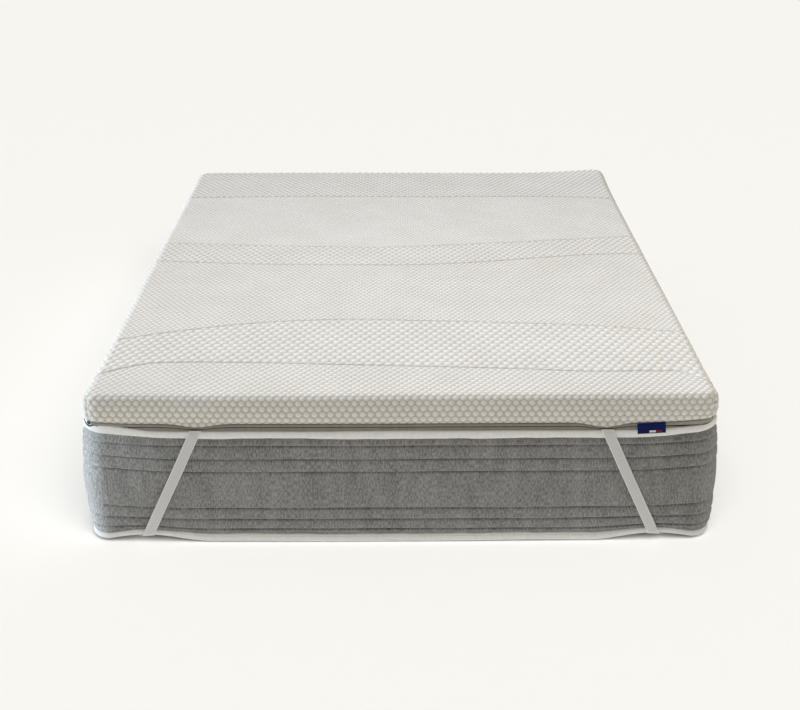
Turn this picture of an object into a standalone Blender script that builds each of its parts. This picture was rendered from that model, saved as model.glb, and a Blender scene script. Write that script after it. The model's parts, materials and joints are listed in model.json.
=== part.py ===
"""Mattress topper, strapped on the mattress that it covers.

The topper is one foam pad in a knitted cover: a slightly crowned top with wavy sewn grooves, a bulging
border, and a seam that is drawn in and pulled down where the elastic straps hold it. A zip band runs
below that seam. Each strap passes over the mattress's edge tape, down its end, under its corner and up
its side. The mattress is plain: six sewn channels round its border, and a tape on each edge.

Metres, +Z up. The foot end faces -Y. The origin is the middle of the mattress's resting face.
"""

import math
from collections import namedtuple

import bmesh
import bpy
from mathutils import Vector
from mathutils.geometry import delaunay_2d_cdt

# Driving dimensions of the topper pad
PAD_HALF_WIDTH = 0.700
PAD_HALF_LENGTH = 0.950
PAD_SHIFT = -0.009
PAD_CORNER = 0.038
PAD_TOP = 0.362
PAD_SEAM = 0.2928
PAD_BASE = 0.2763
PAD_EDGE_ROUND = 0.021
PAD_CROWN = 0.004
PAD_CURL = 0.013
PAD_CURL_REACH = 0.16
PAD_UNEVEN = 0.0012
CORNER_SEAM_PINCH = 0.002
SEAM_INSET = 0.0055
SEAM_DIP = 0.0118
SEAM_DIP_REACH = 0.042
GROOVE_DEPTH = 0.0028
GROOVE_HALF_WIDTH = 0.006
GROOVE_FADE = 0.05

# Driving dimensions of the mattress
BED_HALF_WIDTH = 0.707
BED_HALF_LENGTH = 0.955
BED_CORNER = 0.055
BED_HEIGHT = 0.276
BED_SWELL = 0.008
BED_PUFF = 0.0015
CHANNEL_HEIGHTS = (0.0360, 0.0615, 0.0904, 0.1813, 0.2112, 0.2428)
CHANNEL_DEPTH = 0.0035
CHANNEL_HALF_WIDTH = 0.0032
TAPE_REBATE = 0.0048
TAPE_LOW_EDGES = (0.0030, 0.0235)
TAPE_HIGH_EDGES = (0.2575, 0.2757)
TAPE_PROUD = 0.0010
TAPE_SHOULDER = 0.0030
TAPE_FLAT = 0.0006
TAPE_ROUND = 0.0016
REBATE_GAP = 0.0005
FOOT_INSET = 0.020
FOOT_EDGE = 0.0012

# Zip band, straps, label and zip pull
ZIP_OUTER = 0.0045
ZIP_INNER = 0.0070
ZIP_GROOVE = 0.0009
ZIP_MIDDLE = 0.52
ZIP_GROOVE_SHARE = 0.12
ZIP_PULL_HEIGHT = 0.2857
STRAP_HALF_WIDTH = 0.013
STRAP_HALF_THICKNESS = 0.00075
STRAP_FROM_CORNER_TOP = 0.25
STRAP_FROM_CORNER_LOW = 0.134
STRAP_DENT = 0.0155
STRAP_DENT_REACH = 0.105
DENT_FADE_HEIGHT = 0.09
LABEL_CENTRE = 0.550
LABEL_HALF_WIDTH = 0.031
LABEL_HALF_THICKNESS = 0.0005

# Both ends bow out in plan between their corners, and the sides hardly do
END_BOW = 0.006
SIDE_BOW = 0.001
GAP = 0.0003

Outline = namedtuple("Outline", "points normals")
Groove = namedtuple("Groove", "name course")
Row = namedtuple("Row", "out height")
Finish = namedtuple("Finish", "name colour roughness")

BUBBLE_KNIT = Finish("bubble_knit", (0.83, 0.82, 0.79), 0.85)
ZIP_TAPE = Finish("zip_tape", (0.42, 0.40, 0.36), 0.80)
ZIP_METAL = Finish("zip_metal", (0.05, 0.05, 0.05), 0.40)
LABEL_WEAVE = Finish("label_weave", (0.012, 0.030, 0.120), 0.70)
ELASTIC = Finish("elastic", (0.55, 0.55, 0.52), 0.75)
HEATHER_KNIT = Finish("heather_knit", (0.22, 0.22, 0.21), 0.90)
EDGE_TAPE = Finish("edge_tape", (0.72, 0.71, 0.68), 0.80)

# Distance from the foot edge of each groove across the top, from left to right
GROOVES = (
    Groove("first", ((-0.69, 0.121), (-0.58, 0.190), (-0.40, 0.195), (-0.07, 0.177), (0.27, 0.154),
                     (0.43, 0.138), (0.62, 0.132), (0.69, 0.100))),
    Groove("second", ((-0.70, 0.332), (-0.57, 0.383), (-0.38, 0.436), (-0.15, 0.464), (0.10, 0.456),
                      (0.30, 0.441), (0.52, 0.411), (0.70, 0.369))),
    Groove("third", ((-0.70, 0.929), (-0.36, 0.895), (-0.14, 0.886), (0.08, 0.886), (0.25, 0.916),
                     (0.39, 0.950), (0.60, 0.991), (0.70, 0.991))),
    Groove("fourth", ((-0.70, 1.095), (-0.30, 1.058), (0.00, 1.045), (0.25, 1.075), (0.45, 1.117),
                      (0.70, 1.166))),
    Groove("fifth", ((-0.70, 1.580), (0.00, 1.580), (0.50, 1.580), (0.70, 1.561))),
)

# Courses of the thin bands, each row a distance out from the mattress's face and a height. A strap
# leaves the cover's seam from behind the mattress's face on three of the sides, where the pad stands
# back from it, and hangs straight down on the foot end, where the pad stands proud.
STRAP_START_HEIGHT = 0.2787
STRAP_OVER_EDGE = Row(-0.0005, 0.2785)
STRAP_FLUSH_START = Row(0.0020, 0.2805)
STRAP_OVER_TAPE = (Row(0.0022, 0.2764), Row(0.0031, 0.2710))
STRAP_END = (Row(0.0034, 0.0255), Row(0.0026, 0.0175), Row(0.0002, 0.0135), Row(-0.0050, 0.0121),
             Row(-0.0140, 0.0119))
STRAP_CLEAR = 0.0030
STRAP_NARROWING = 0.0015
STRAP_FACE_STEPS = 6
STRAP_UNDER_STEPS = 4
LABEL_COURSE = (Row(0.0003, 0.2927), Row(0.0010, 0.2908), Row(0.0018, 0.2860), Row(0.0025, 0.2800),
                Row(0.0028, 0.2745), Row(0.0029, 0.2692))


def clear_scene():
    """Remove what the opened file holds, and its unused meshes."""
    for item in list(bpy.data.objects):
        bpy.data.objects.remove(item, do_unlink=True)
    for mesh in list(bpy.data.meshes):
        bpy.data.meshes.remove(mesh)


def material(kind):
    """A Principled material of one colour."""
    result = bpy.data.materials.new(kind.name)
    result.use_nodes = True
    shader = result.node_tree.nodes["Principled BSDF"]
    shader.inputs["Base Color"].default_value = (*kind.colour, 1.0)
    shader.inputs["Roughness"].default_value = kind.roughness
    shader.inputs["Metallic"].default_value = 0.0
    return result


# ---- plan outlines -------------------------------------------------------------------------------

def side_stations(end, strap, offsets, widest):
    """Places along one side: its ends, a cluster at each of the two straps, and even fill between."""
    marks = {-end, end}
    for offset in offsets:
        marks.add(strap + offset)
        marks.add(-strap - offset)
    marks = sorted(marks)
    places = [marks[0]]
    for left, right in zip(marks, marks[1:]):
        steps = max(1, math.ceil((right - left) / widest))
        places += [left + (right - left) * step / steps for step in range(1, steps + 1)]
    return places


def rounded_outline(half_width, half_length, corner, across, along, corner_steps):
    """A rounded rectangle, counter-clockwise from the front left, with its outward normals."""
    points = []
    normals = []

    def side(places, place_point, normal):
        for place in places:
            points.append(Vector(place_point(place)))
            normals.append(Vector(normal))

    def turn(sign_x, sign_y, start):
        centre = Vector((sign_x * (half_width - corner), sign_y * (half_length - corner)))
        for step in range(1, corner_steps):
            angle = math.radians(start + 90 * step / corner_steps)
            normal = Vector((math.cos(angle), math.sin(angle)))
            points.append(centre + normal * corner)
            normals.append(normal)

    side(across, lambda x: (x, -half_length), (0, -1))
    turn(1, -1, -90)
    side(along, lambda y: (half_width, y), (1, 0))
    turn(1, 1, 0)
    side(reversed(across), lambda x: (x, half_length), (0, 1))
    turn(-1, 1, 90)
    side(reversed(along), lambda y: (-half_width, y), (-1, 0))
    turn(-1, -1, 180)
    return Outline(points, normals)


def pad_outline():
    """The topper's outline, with close places at the straps, where its seam dips."""
    offsets = (-0.075, -0.045, -0.020, 0.0, 0.020, 0.045, 0.075)
    end_x = PAD_HALF_WIDTH - PAD_CORNER
    end_y = PAD_HALF_LENGTH - PAD_CORNER
    across = side_stations(end_x, PAD_HALF_WIDTH - STRAP_FROM_CORNER_TOP, offsets, 0.17)
    along = side_stations(end_y, PAD_HALF_LENGTH - STRAP_FROM_CORNER_TOP, offsets, 0.19)
    return rounded_outline(PAD_HALF_WIDTH, PAD_HALF_LENGTH, PAD_CORNER, across, along, 6)


def bed_outline():
    """The mattress's outline, with close places where the straps lift its lower edge."""
    offsets = (-0.145, -0.105, -0.070, -0.035, 0.0, 0.035)
    end_x = BED_HALF_WIDTH - BED_CORNER
    end_y = BED_HALF_LENGTH - BED_CORNER
    across = side_stations(end_x, BED_HALF_WIDTH - STRAP_FROM_CORNER_LOW, offsets, 0.22)
    along = side_stations(end_y, BED_HALF_LENGTH - STRAP_FROM_CORNER_LOW, offsets, 0.26)
    return rounded_outline(BED_HALF_WIDTH, BED_HALF_LENGTH, BED_CORNER, across, along, 5)


# ---- soft forms ----------------------------------------------------------------------------------

def bowed(point):
    """Bow the ends and sides out a little between their corners."""
    end_share = 1 - (point.x / BED_HALF_WIDTH) ** 2
    side_share = 1 - (point.y / BED_HALF_LENGTH) ** 2
    x = point.x * (1 + SIDE_BOW / BED_HALF_WIDTH * side_share)
    y = point.y * (1 + END_BOW / BED_HALF_LENGTH * end_share)
    return Vector((x, y, point.z))


def pad_top(x, y):
    """Height of the topper's upper face: crowned, a little uneven, curled up at its back right corner."""
    crown = PAD_CROWN * (1 - (x / PAD_HALF_WIDTH) ** 2) * (1 - (y / PAD_HALF_LENGTH) ** 2)
    uneven = PAD_UNEVEN * math.sin(7.1 * x + 0.6) * math.sin(5.3 * y + 1.1)
    apart = math.hypot(x - PAD_HALF_WIDTH, y - PAD_HALF_LENGTH)
    return PAD_TOP + crown + uneven + PAD_CURL * math.exp(-((apart / PAD_CURL_REACH) ** 2))


def pad_seam(point):
    """Height of the border's lower seam, which dips where a strap pulls on it."""
    strap_x = PAD_HALF_WIDTH - STRAP_FROM_CORNER_TOP
    strap_y = PAD_HALF_LENGTH - STRAP_FROM_CORNER_TOP
    on_end = abs(point.y) > PAD_HALF_LENGTH - PAD_CORNER
    aside = abs(point.x) - strap_x if on_end else abs(point.y) - strap_y
    return PAD_SEAM - SEAM_DIP * math.exp(-((aside / SEAM_DIP_REACH) ** 2))


def corner_share(normal):
    """One at the middle of a rounded corner, where the cover's upright seam is, and none on a side."""
    return (2 * abs(normal.x * normal.y)) ** 6


def dent(x, y):
    """How far the straps lift the mattress's underside, along the line that each takes under a corner."""
    line = BED_HALF_WIDTH + BED_HALF_LENGTH - STRAP_FROM_CORNER_LOW
    apart = min(1.0, abs(abs(x) + abs(y) - line) / math.sqrt(2) / STRAP_DENT_REACH)
    return STRAP_DENT * math.cos(math.pi / 2 * apart) ** 2


def lifted(x, y, z):
    """A point of the mattress's border, raised by the dent below it."""
    fade = max(0.0, 1 - z / DENT_FADE_HEIGHT) ** 2
    return Vector((x, y, z + dent(x, y) * fade))


def bed_swell(z):
    """How far the mattress's border stands out at a height."""
    return BED_SWELL * math.sin(math.pi * z / BED_HEIGHT)


# ---- mesh building -------------------------------------------------------------------------------

def add_ring(mesh, outline, place):
    """One ring of points round an outline; place turns an outline point and its normal into a location."""
    ring = []
    for point, normal in zip(outline.points, outline.normals):
        ring.append(mesh.verts.new(place(point, normal)))
    return ring


def bridge(mesh, lower, upper):
    """A band of faces between two rings."""
    count = len(lower)
    for here in range(count):
        after = (here + 1) % count
        mesh.faces.new((lower[here], lower[after], upper[after], upper[here]))


def fill_plan(mesh, ring, inner, height):
    """Close a ring with triangles through the inner plan points, each a place and its depth."""
    plan = [vert.co.xy for vert in ring] + [Vector(place) for place, depth in inner]
    border = [list(range(len(ring)))]
    result = delaunay_2d_cdt(plan, [], border, 1, 1e-6)
    corners, faces, sources = result[0], result[2], result[3]
    made = {}
    for index, corner in enumerate(corners):
        first = min(sources[index])
        if first < len(ring):
            made[index] = ring[first]
        else:
            depth = inner[first - len(ring)][1]
            made[index] = mesh.verts.new((corner.x, corner.y, height(corner.x, corner.y) - depth))
    for face in faces:
        mesh.faces.new([made[index] for index in face])


def make_object(name, mesh, kind, smooth_angle=40, shift=0.0):
    """Move the mesh along by its shift, bow it, face it out, and make its object."""
    for vert in mesh.verts:
        vert.co.y += shift
        vert.co = bowed(vert.co)
    bmesh.ops.recalc_face_normals(mesh, faces=mesh.faces)
    data = bpy.data.meshes.new(name)
    mesh.to_mesh(data)
    mesh.free()
    data.shade_smooth()
    data.set_sharp_from_angle(angle=math.radians(smooth_angle))
    data.materials.append(material(kind))
    result = bpy.data.objects.new(name, data)
    bpy.context.scene.collection.objects.link(result)
    return result


def ring_solid(name, outline, section, place, kind, shift=0.0):
    """A closed ring whose section, a list of inset and share pairs, runs round the outline."""
    mesh = bmesh.new()
    rings = []
    for inset, share in section:
        rings.append(add_ring(mesh, outline, lambda p, n: place(p, n, inset, share)))
    for lower, upper in zip(rings, rings[1:] + rings[:1]):
        bridge(mesh, lower, upper)
    return make_object(name, mesh, kind, shift=shift)


# ---- the topper ----------------------------------------------------------------------------------

def groove_course(groove, x):
    """Plan Y of a groove at x, smooth between the places of its table."""
    course = groove.course
    for (left, low), (right, high) in zip(course, course[1:]):
        if x <= right or right == course[-1][0]:
            share = min(1.0, max(0.0, (x - left) / (right - left)))
            eased = share * share * (3 - 2 * share)
            return low + (high - low) * eased - PAD_HALF_LENGTH
    return None


def groove_points():
    """Plan points of the grooves: a deep middle line between two lines at the surface."""
    reach = PAD_HALF_WIDTH - GROOVE_FADE
    steps = 22
    points = []
    for groove in GROOVES:
        for step in range(steps + 1):
            x = reach * (2 * step / steps - 1)
            y = groove_course(groove, x)
            share = min(1.0, (reach - abs(x)) / GROOVE_FADE)
            points.append(((x, y), GROOVE_DEPTH * share))
            if share > 0:
                points.append(((x, y - GROOVE_HALF_WIDTH), 0.0))
                points.append(((x, y + GROOVE_HALF_WIDTH), 0.0))
    return points


def fill_points():
    """Even plan points between the grooves, for the crown and the curl."""
    spacing = 0.095
    points = []
    for row in range(-9, 10):
        for column in range(-6, 7):
            x = column * spacing + (row % 2) * spacing / 2
            y = row * spacing
            if abs(x) > PAD_HALF_WIDTH - 0.06 or abs(y) > PAD_HALF_LENGTH - 0.06:
                continue
            if min(abs(y - groove_course(groove, x)) for groove in GROOVES) > 0.035:
                points.append(((x, y), 0.0))
    return points


def make_pad():
    """The filled pad: core, drawn-in seam, bulging border, rounded edge and grooved top."""
    outline = pad_outline()
    mesh = bmesh.new()
    core = ZIP_INNER + GAP

    def flat(inset, height):
        return lambda p, n: (*(p - n * inset), height)

    def at_seam(inset):
        return lambda p, n: (*(p - n * inset), pad_seam(p))

    def border(share, inset):
        def place(p, n):
            x, y = p - n * (inset + CORNER_SEAM_PINCH * corner_share(n))
            low = pad_seam(p)
            return x, y, low + share * (pad_top(x, y) - PAD_EDGE_ROUND - low)
        return place

    def edge(angle):
        def place(p, n):
            inset = 0.001 + PAD_EDGE_ROUND * (1 - math.cos(angle)) + CORNER_SEAM_PINCH * corner_share(n)
            x, y = p - n * inset
            return x, y, pad_top(x, y) - PAD_EDGE_ROUND * (1 - math.sin(angle))
        return place

    places = [flat(core, PAD_BASE), at_seam(core), at_seam(SEAM_INSET)]
    places += [border(0.06, 0.0030), border(0.30, 0.0006), border(0.65, 0.0), border(1.0, 0.001)]
    places += [edge(math.radians(angle)) for angle in (30, 60, 90)]
    rings = [add_ring(mesh, outline, place) for place in places]
    for lower, upper in zip(rings, rings[1:]):
        bridge(mesh, lower, upper)
    mesh.faces.new(list(reversed(rings[0])))
    fill_plan(mesh, rings[-1], groove_points() + fill_points(), pad_top)
    return make_object("topper_pad", mesh, BUBBLE_KNIT, shift=PAD_SHIFT)


def make_zip_band():
    """The zip's tapes round the pad's lower edge, with the zip's line as a shallow groove."""
    low = PAD_BASE + GAP
    under, over = ZIP_MIDDLE - ZIP_GROOVE_SHARE, ZIP_MIDDLE + ZIP_GROOVE_SHARE
    section = ((ZIP_OUTER, 0.0), (ZIP_OUTER, under), (ZIP_OUTER + ZIP_GROOVE, ZIP_MIDDLE),
               (ZIP_OUTER, over), (ZIP_OUTER, 1.0), (ZIP_INNER, 1.0), (ZIP_INNER, 0.0))

    def place(p, n, inset, share):
        height = low + share * (pad_seam(p) - GAP - low)
        return (*(p - n * inset), height)

    return ring_solid("zip_band", pad_outline(), section, place, ZIP_TAPE, PAD_SHIFT)


def make_zip_pull():
    """Slider and tab on the zip at the front left corner, lofted along the zip's line."""
    Section = namedtuple("Section", "along height thickness out")
    sections = (
        Section(-0.0080, 0.0045, 0.0026, 0.0022), Section(-0.0060, 0.0080, 0.0040, 0.0024),
        Section(0.0040, 0.0080, 0.0040, 0.0024), Section(0.0060, 0.0055, 0.0018, 0.0034),
        Section(0.0210, 0.0060, 0.0016, 0.0048), Section(0.0230, 0.0036, 0.0014, 0.0050),
    )
    outward = Vector((-1, -1, 0)).normalized()
    forward = Vector((1, -1, 0)).normalized()
    up = Vector((0, 0, 1))
    centre = Vector((-(PAD_HALF_WIDTH - PAD_CORNER), -(PAD_HALF_LENGTH - PAD_CORNER), ZIP_PULL_HEIGHT))
    mesh = bmesh.new()
    rings = []
    for section in sections:
        middle = centre + outward * (PAD_CORNER - ZIP_OUTER + section.out) + forward * section.along
        rise = up * section.height / 2
        deep = outward * section.thickness / 2
        corners = (middle - rise - deep, middle - rise + deep, middle + rise + deep, middle + rise - deep)
        rings.append([mesh.verts.new(corner) for corner in corners])
    for lower, upper in zip(rings, rings[1:]):
        bridge(mesh, lower, upper)
    mesh.faces.new(list(reversed(rings[0])))
    mesh.faces.new(rings[-1])
    return make_object("zip_pull", mesh, ZIP_METAL, 20, PAD_SHIFT)


# ---- bands: straps and label ---------------------------------------------------------------------

Station = namedtuple("Station", "centre across")


def make_band(name, stations, half_thickness, facing, kind):
    """A flat band of even thickness through its stations, closed at both ends."""
    mesh = bmesh.new()
    rings = []
    last = len(stations) - 1
    for index, station in enumerate(stations):
        before = stations[max(0, index - 1)].centre
        after = stations[min(last, index + 1)].centre
        normal = (after - before).cross(station.across).normalized() * half_thickness * facing
        corners = (station.centre - station.across - normal, station.centre + station.across - normal,
                   station.centre + station.across + normal, station.centre - station.across + normal)
        rings.append([mesh.verts.new(corner) for corner in corners])
    for lower, upper in zip(rings, rings[1:]):
        bridge(mesh, lower, upper)
    mesh.faces.new(list(reversed(rings[0])))
    mesh.faces.new(rings[-1])
    return make_object(name, mesh, kind, 20)


def make_label():
    """A small woven label, sewn in the seam and hanging out over the zip and the mattress's tape."""
    stations = []
    for row in LABEL_COURSE:
        centre = Vector((LABEL_CENTRE, -BED_HALF_LENGTH - row.out, row.height))
        stations.append(Station(centre, Vector((LABEL_HALF_WIDTH, 0, 0))))
    return make_band("label", stations, LABEL_HALF_THICKNESS, -1, LABEL_WEAVE)


def strap_rows(pad_out):
    """A leg's course in the upright plane across the mattress's edge, from the seam to the underside."""
    start = pad_out - ZIP_OUTER + GAP
    if start < STRAP_OVER_EDGE.out:
        middle = (start + STRAP_OVER_EDGE.out) / 2
        lead = [Row(start, STRAP_START_HEIGHT), Row(middle, STRAP_START_HEIGHT), STRAP_OVER_EDGE]
    else:
        lead = [STRAP_FLUSH_START]
    top = STRAP_OVER_TAPE[-1].height
    low = STRAP_END[0].height
    face = []
    for step in range(1, STRAP_FACE_STEPS):
        height = top + (low - top) * step / STRAP_FACE_STEPS
        face.append(Row(STRAP_CLEAR + bed_swell(height), height))
    return lead + list(STRAP_OVER_TAPE) + face + list(STRAP_END)


def strap_leg(sign_x, sign_y, on_end):
    """Stations of one leg of a strap, from the seam down, on an end or a side of the mattress."""
    half = BED_HALF_LENGTH if on_end else BED_HALF_WIDTH
    corner = BED_HALF_WIDTH if on_end else BED_HALF_LENGTH
    pad_corner = PAD_HALF_WIDTH if on_end else PAD_HALF_LENGTH
    start = pad_corner - STRAP_FROM_CORNER_TOP
    end = corner - STRAP_FROM_CORNER_LOW
    if on_end:
        pad_out = PAD_HALF_LENGTH + sign_y * PAD_SHIFT - BED_HALF_LENGTH
    else:
        pad_out = PAD_HALF_WIDTH - BED_HALF_WIDTH
        start += sign_y * PAD_SHIFT
    rows = strap_rows(pad_out)
    top, low = STRAP_OVER_TAPE[-1].height, STRAP_END[1].height
    farthest = -STRAP_END[-1].out
    stations = []
    for index, row in enumerate(rows):
        share = min(1.0, max(0.0, (top - row.height) / (top - low)))
        under = max(0.0, -row.out) if index > len(rows) - len(STRAP_END) else 0.0
        along = start + (end - start) * share + under
        turn = math.radians(45) * under / farthest
        width = STRAP_HALF_WIDTH - STRAP_NARROWING * under / farthest
        if on_end:
            centre = Vector((sign_x * along, sign_y * (half + row.out), row.height))
            across = Vector((sign_x * math.cos(turn), sign_y * math.sin(turn), 0)) * width
        else:
            centre = Vector((sign_x * (half + row.out), sign_y * along, row.height))
            across = Vector((sign_x * math.sin(turn), sign_y * math.cos(turn), 0)) * width
        stations.append(Station(centre, across))
    return stations


def make_strap(name, sign_x, sign_y):
    """One corner strap: down an end, under the corner and up a side."""
    down = strap_leg(sign_x, sign_y, True)
    rise = list(reversed(strap_leg(sign_x, sign_y, False)))
    under = []
    for step in range(1, STRAP_UNDER_STEPS):
        share = step / STRAP_UNDER_STEPS
        centre = down[-1].centre.lerp(rise[0].centre, share)
        under.append(Station(centre, down[-1].across))
    return make_band(name, down + under + rise, STRAP_HALF_THICKNESS, -sign_x * sign_y, ELASTIC)


def make_straps():
    """The four corner straps."""
    for end, sign_y in (("front", -1), ("back", 1)):
        for side, sign_x in (("left", -1), ("right", 1)):
            make_strap("strap_%s_%s" % (end, side), sign_x, sign_y)


# ---- the mattress --------------------------------------------------------------------------------

def border_levels():
    """Inset and height of the mattress's border between its tapes: puffs between pinched channels."""
    low = TAPE_LOW_EDGES[1] + REBATE_GAP
    high = TAPE_HIGH_EDGES[0] - REBATE_GAP
    bounds = (low, *CHANNEL_HEIGHTS, high)
    levels = [(-bed_swell(low), low)]
    for start, end in zip(bounds, bounds[1:]):
        first = start if start == low else start + CHANNEL_HALF_WIDTH
        last = end if end == high else end - CHANNEL_HALF_WIDTH
        if start != low:
            levels.append((-bed_swell(first), first))
        steps = max(1, round((end - start) / 0.026))
        for step in range(1, steps):
            height = first + (last - first) * step / steps
            levels.append((-bed_swell(height) - BED_PUFF, height))
        levels.append((-bed_swell(last), last))
        if end != high:
            levels.append((CHANNEL_DEPTH - bed_swell(end), end))
    return levels


def dent_points():
    """Plan points of the mattress's underside: close together under the straps, and wide elsewhere."""
    slant = math.sqrt(0.5)
    middle_x = BED_HALF_WIDTH - STRAP_FROM_CORNER_LOW / 2
    middle_y = BED_HALF_LENGTH - STRAP_FROM_CORNER_LOW / 2
    points = []
    for sign_x in (-1, 1):
        for sign_y in (-1, 1):
            for along in (-0.105, -0.070, -0.035, 0.0, 0.035, 0.070, 0.105):
                for aside in (-0.107, -0.075, -0.045, -0.020, 0.0, 0.020, 0.045, 0.075):
                    x = middle_x + slant * (along + aside)
                    y = middle_y + slant * (aside - along)
                    if x < BED_HALF_WIDTH - 0.034 and y < BED_HALF_LENGTH - 0.034:
                        points.append(((sign_x * x, sign_y * y), 0.0))
    for x in (-0.35, 0.0, 0.35):
        for y in (-0.6, -0.2, 0.2, 0.6):
            points.append(((x, y), 0.0))
    return points


def make_mattress():
    """The mattress: flat top and underside, rebates for its tapes, and a channelled border."""
    outline = bed_outline()
    mesh = bmesh.new()
    levels = [(FOOT_INSET, 0.0), (TAPE_REBATE, FOOT_EDGE), (TAPE_REBATE, TAPE_LOW_EDGES[1] + REBATE_GAP)]
    levels += border_levels()
    levels += [(TAPE_REBATE, TAPE_HIGH_EDGES[0] - REBATE_GAP), (TAPE_REBATE, BED_HEIGHT)]

    def place(inset, height):
        return lambda p, n: lifted(*(p - n * inset), height)

    rings = [add_ring(mesh, outline, place(inset, height)) for inset, height in levels]
    for lower, upper in zip(rings, rings[1:]):
        bridge(mesh, lower, upper)
    mesh.faces.new(rings[-1])
    fill_plan(mesh, rings[0], dent_points(), dent)
    return make_object("mattress", mesh, HEATHER_KNIT)


def make_tape(name, edges, outer_is_high):
    """A tape round one edge of the mattress, rounder at its outer edge than where it meets the border."""
    low, high = edges
    inner = TAPE_REBATE - GAP
    low_inset, high_inset = (TAPE_FLAT, TAPE_ROUND) if outer_is_high else (TAPE_ROUND, TAPE_FLAT)
    section = ((inner, low), (low_inset, low), (-0.8 * TAPE_PROUD, low + TAPE_SHOULDER),
               (-TAPE_PROUD, (low + high) / 2), (-0.8 * TAPE_PROUD, high - TAPE_SHOULDER),
               (high_inset, high), (inner, high))

    def place(p, n, inset, height):
        return lifted(*(p - n * inset), height)

    return ring_solid(name, bed_outline(), section, place, EDGE_TAPE)


def main():
    clear_scene()
    make_pad()
    make_zip_band()
    make_zip_pull()
    make_label()
    make_straps()
    make_mattress()
    make_tape("mattress_tape_bottom", TAPE_LOW_EDGES, False)
    make_tape("mattress_tape_top", TAPE_HIGH_EDGES, True)


main()
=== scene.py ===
"""Looks of the mattress topper and of the mattress that it is strapped to.

Metres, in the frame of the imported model: the foot end faces -Y, +X is to the right seen from there, and +Z
is up. The topper's cover is one knitted cloth with raised bubbles. Wavy grooves part it into six zones of
smaller and larger bubbles, and each zone is a piece, which runs over the top and down both sides. The first
and last zones also cover the ends. Below the cover are its zip, the label and four elastic straps, and
then the mattress, with a channelled border between two tapes.
"""

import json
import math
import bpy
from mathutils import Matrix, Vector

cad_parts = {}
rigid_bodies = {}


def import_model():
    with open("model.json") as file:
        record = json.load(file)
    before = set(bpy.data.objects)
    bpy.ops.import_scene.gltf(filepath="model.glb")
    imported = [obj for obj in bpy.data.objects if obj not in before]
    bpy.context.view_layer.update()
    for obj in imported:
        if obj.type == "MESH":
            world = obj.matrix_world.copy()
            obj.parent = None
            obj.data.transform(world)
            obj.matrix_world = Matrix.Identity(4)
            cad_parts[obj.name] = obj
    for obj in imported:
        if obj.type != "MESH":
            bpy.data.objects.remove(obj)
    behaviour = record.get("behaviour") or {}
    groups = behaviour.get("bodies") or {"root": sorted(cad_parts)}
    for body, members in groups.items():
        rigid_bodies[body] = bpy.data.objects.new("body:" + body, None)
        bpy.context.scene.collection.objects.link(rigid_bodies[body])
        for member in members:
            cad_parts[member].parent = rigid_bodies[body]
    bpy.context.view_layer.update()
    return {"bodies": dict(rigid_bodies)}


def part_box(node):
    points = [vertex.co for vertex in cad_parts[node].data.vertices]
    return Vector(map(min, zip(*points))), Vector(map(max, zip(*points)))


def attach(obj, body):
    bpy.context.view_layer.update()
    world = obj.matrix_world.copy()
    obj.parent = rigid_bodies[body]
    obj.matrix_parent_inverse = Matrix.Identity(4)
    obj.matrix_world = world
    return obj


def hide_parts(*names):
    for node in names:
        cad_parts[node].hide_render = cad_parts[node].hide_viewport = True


bl_info = {
    "name": "Mattress topper on its mattress",
    "version": (1, 0, 0),
    "blender": (4, 5, 0),
    "location": "3D View > Sidebar > Topper",
    "description": "Builds the knitted cover, zip, straps, label and mattress around the packed model",
    "category": "Add Mesh",
}

from collections import namedtuple

import bpy
import numpy as np
from bpy.props import FloatProperty, FloatVectorProperty, PointerProperty
from mathutils import Matrix, Vector

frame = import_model()
BODY = sorted(frame["bodies"])[0]

# ---- sizes read from the frame, and those that repeat the model's own -----------------------------

PAD_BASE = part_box("topper_pad")[0].z
BED_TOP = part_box("mattress")[1].z
SIDE_BOW = 0.001
END_BOW = 0.006
BED_HALF_X = 0.707
BED_HALF_Y = 0.955
BED_CORNER = 0.055
BED_SWELL = 0.008
SWELL_HEIGHT = 0.276
PAD_HALF_X = 0.700
PAD_HALF_Y = 0.950
PAD_SHIFT = -0.009
PAD_CORNER = 0.038
PAD_TOP = 0.362
PAD_CROWN = 0.004
PAD_CURL = 0.013
PAD_CURL_REACH = 0.16
PAD_UNEVEN = 0.0012
EDGE_ROUND = 0.021
EDGE_LEAD = 0.001
SEAM_HEIGHT = 0.2948
SEAM_DIP_REACH = 0.042
STRAP_FROM_CORNER_TOP = 0.25
STRAP_FROM_CORNER_LOW = 0.134
STRAP_ASIDE = 0.003
STRAP_TOP = 0.2790
STRAP_FOOT = 0.0185
STRAP_DENT = 0.0172
STRAP_DENT_REACH = 0.105
DENT_FADE_HEIGHT = 0.09
CHANNEL_HEIGHTS = (0.0360, 0.0615, 0.0904, 0.1813, 0.2112, 0.2428)
TAPE_LOW_EDGES = (0.0030, 0.0235)
TAPE_HIGH_EDGES = (0.2575, 0.2757)

# ---- what the photograph shows beyond the model's shapes, at the left (-1) and right (1) ----------

SEAM_DIPS = {-1: 0.0092, 1: 0.0122}
CORNER_LIFTS = {-1: 0.0040, 1: 0.0080}
CORNER_LIFT_REACH = 0.065
SOFTENED_FROM = 0.50
SOFTENED_ALONG = 0.80
SOFTENED_DEPTH = 0.027
CORNER_BULGES = {-1: 0.0070, 1: 0.0010}
BORDER_CLIMBS = {-1: 0.0080, 1: 0.0040}
END_SLANT = 0.007

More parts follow.
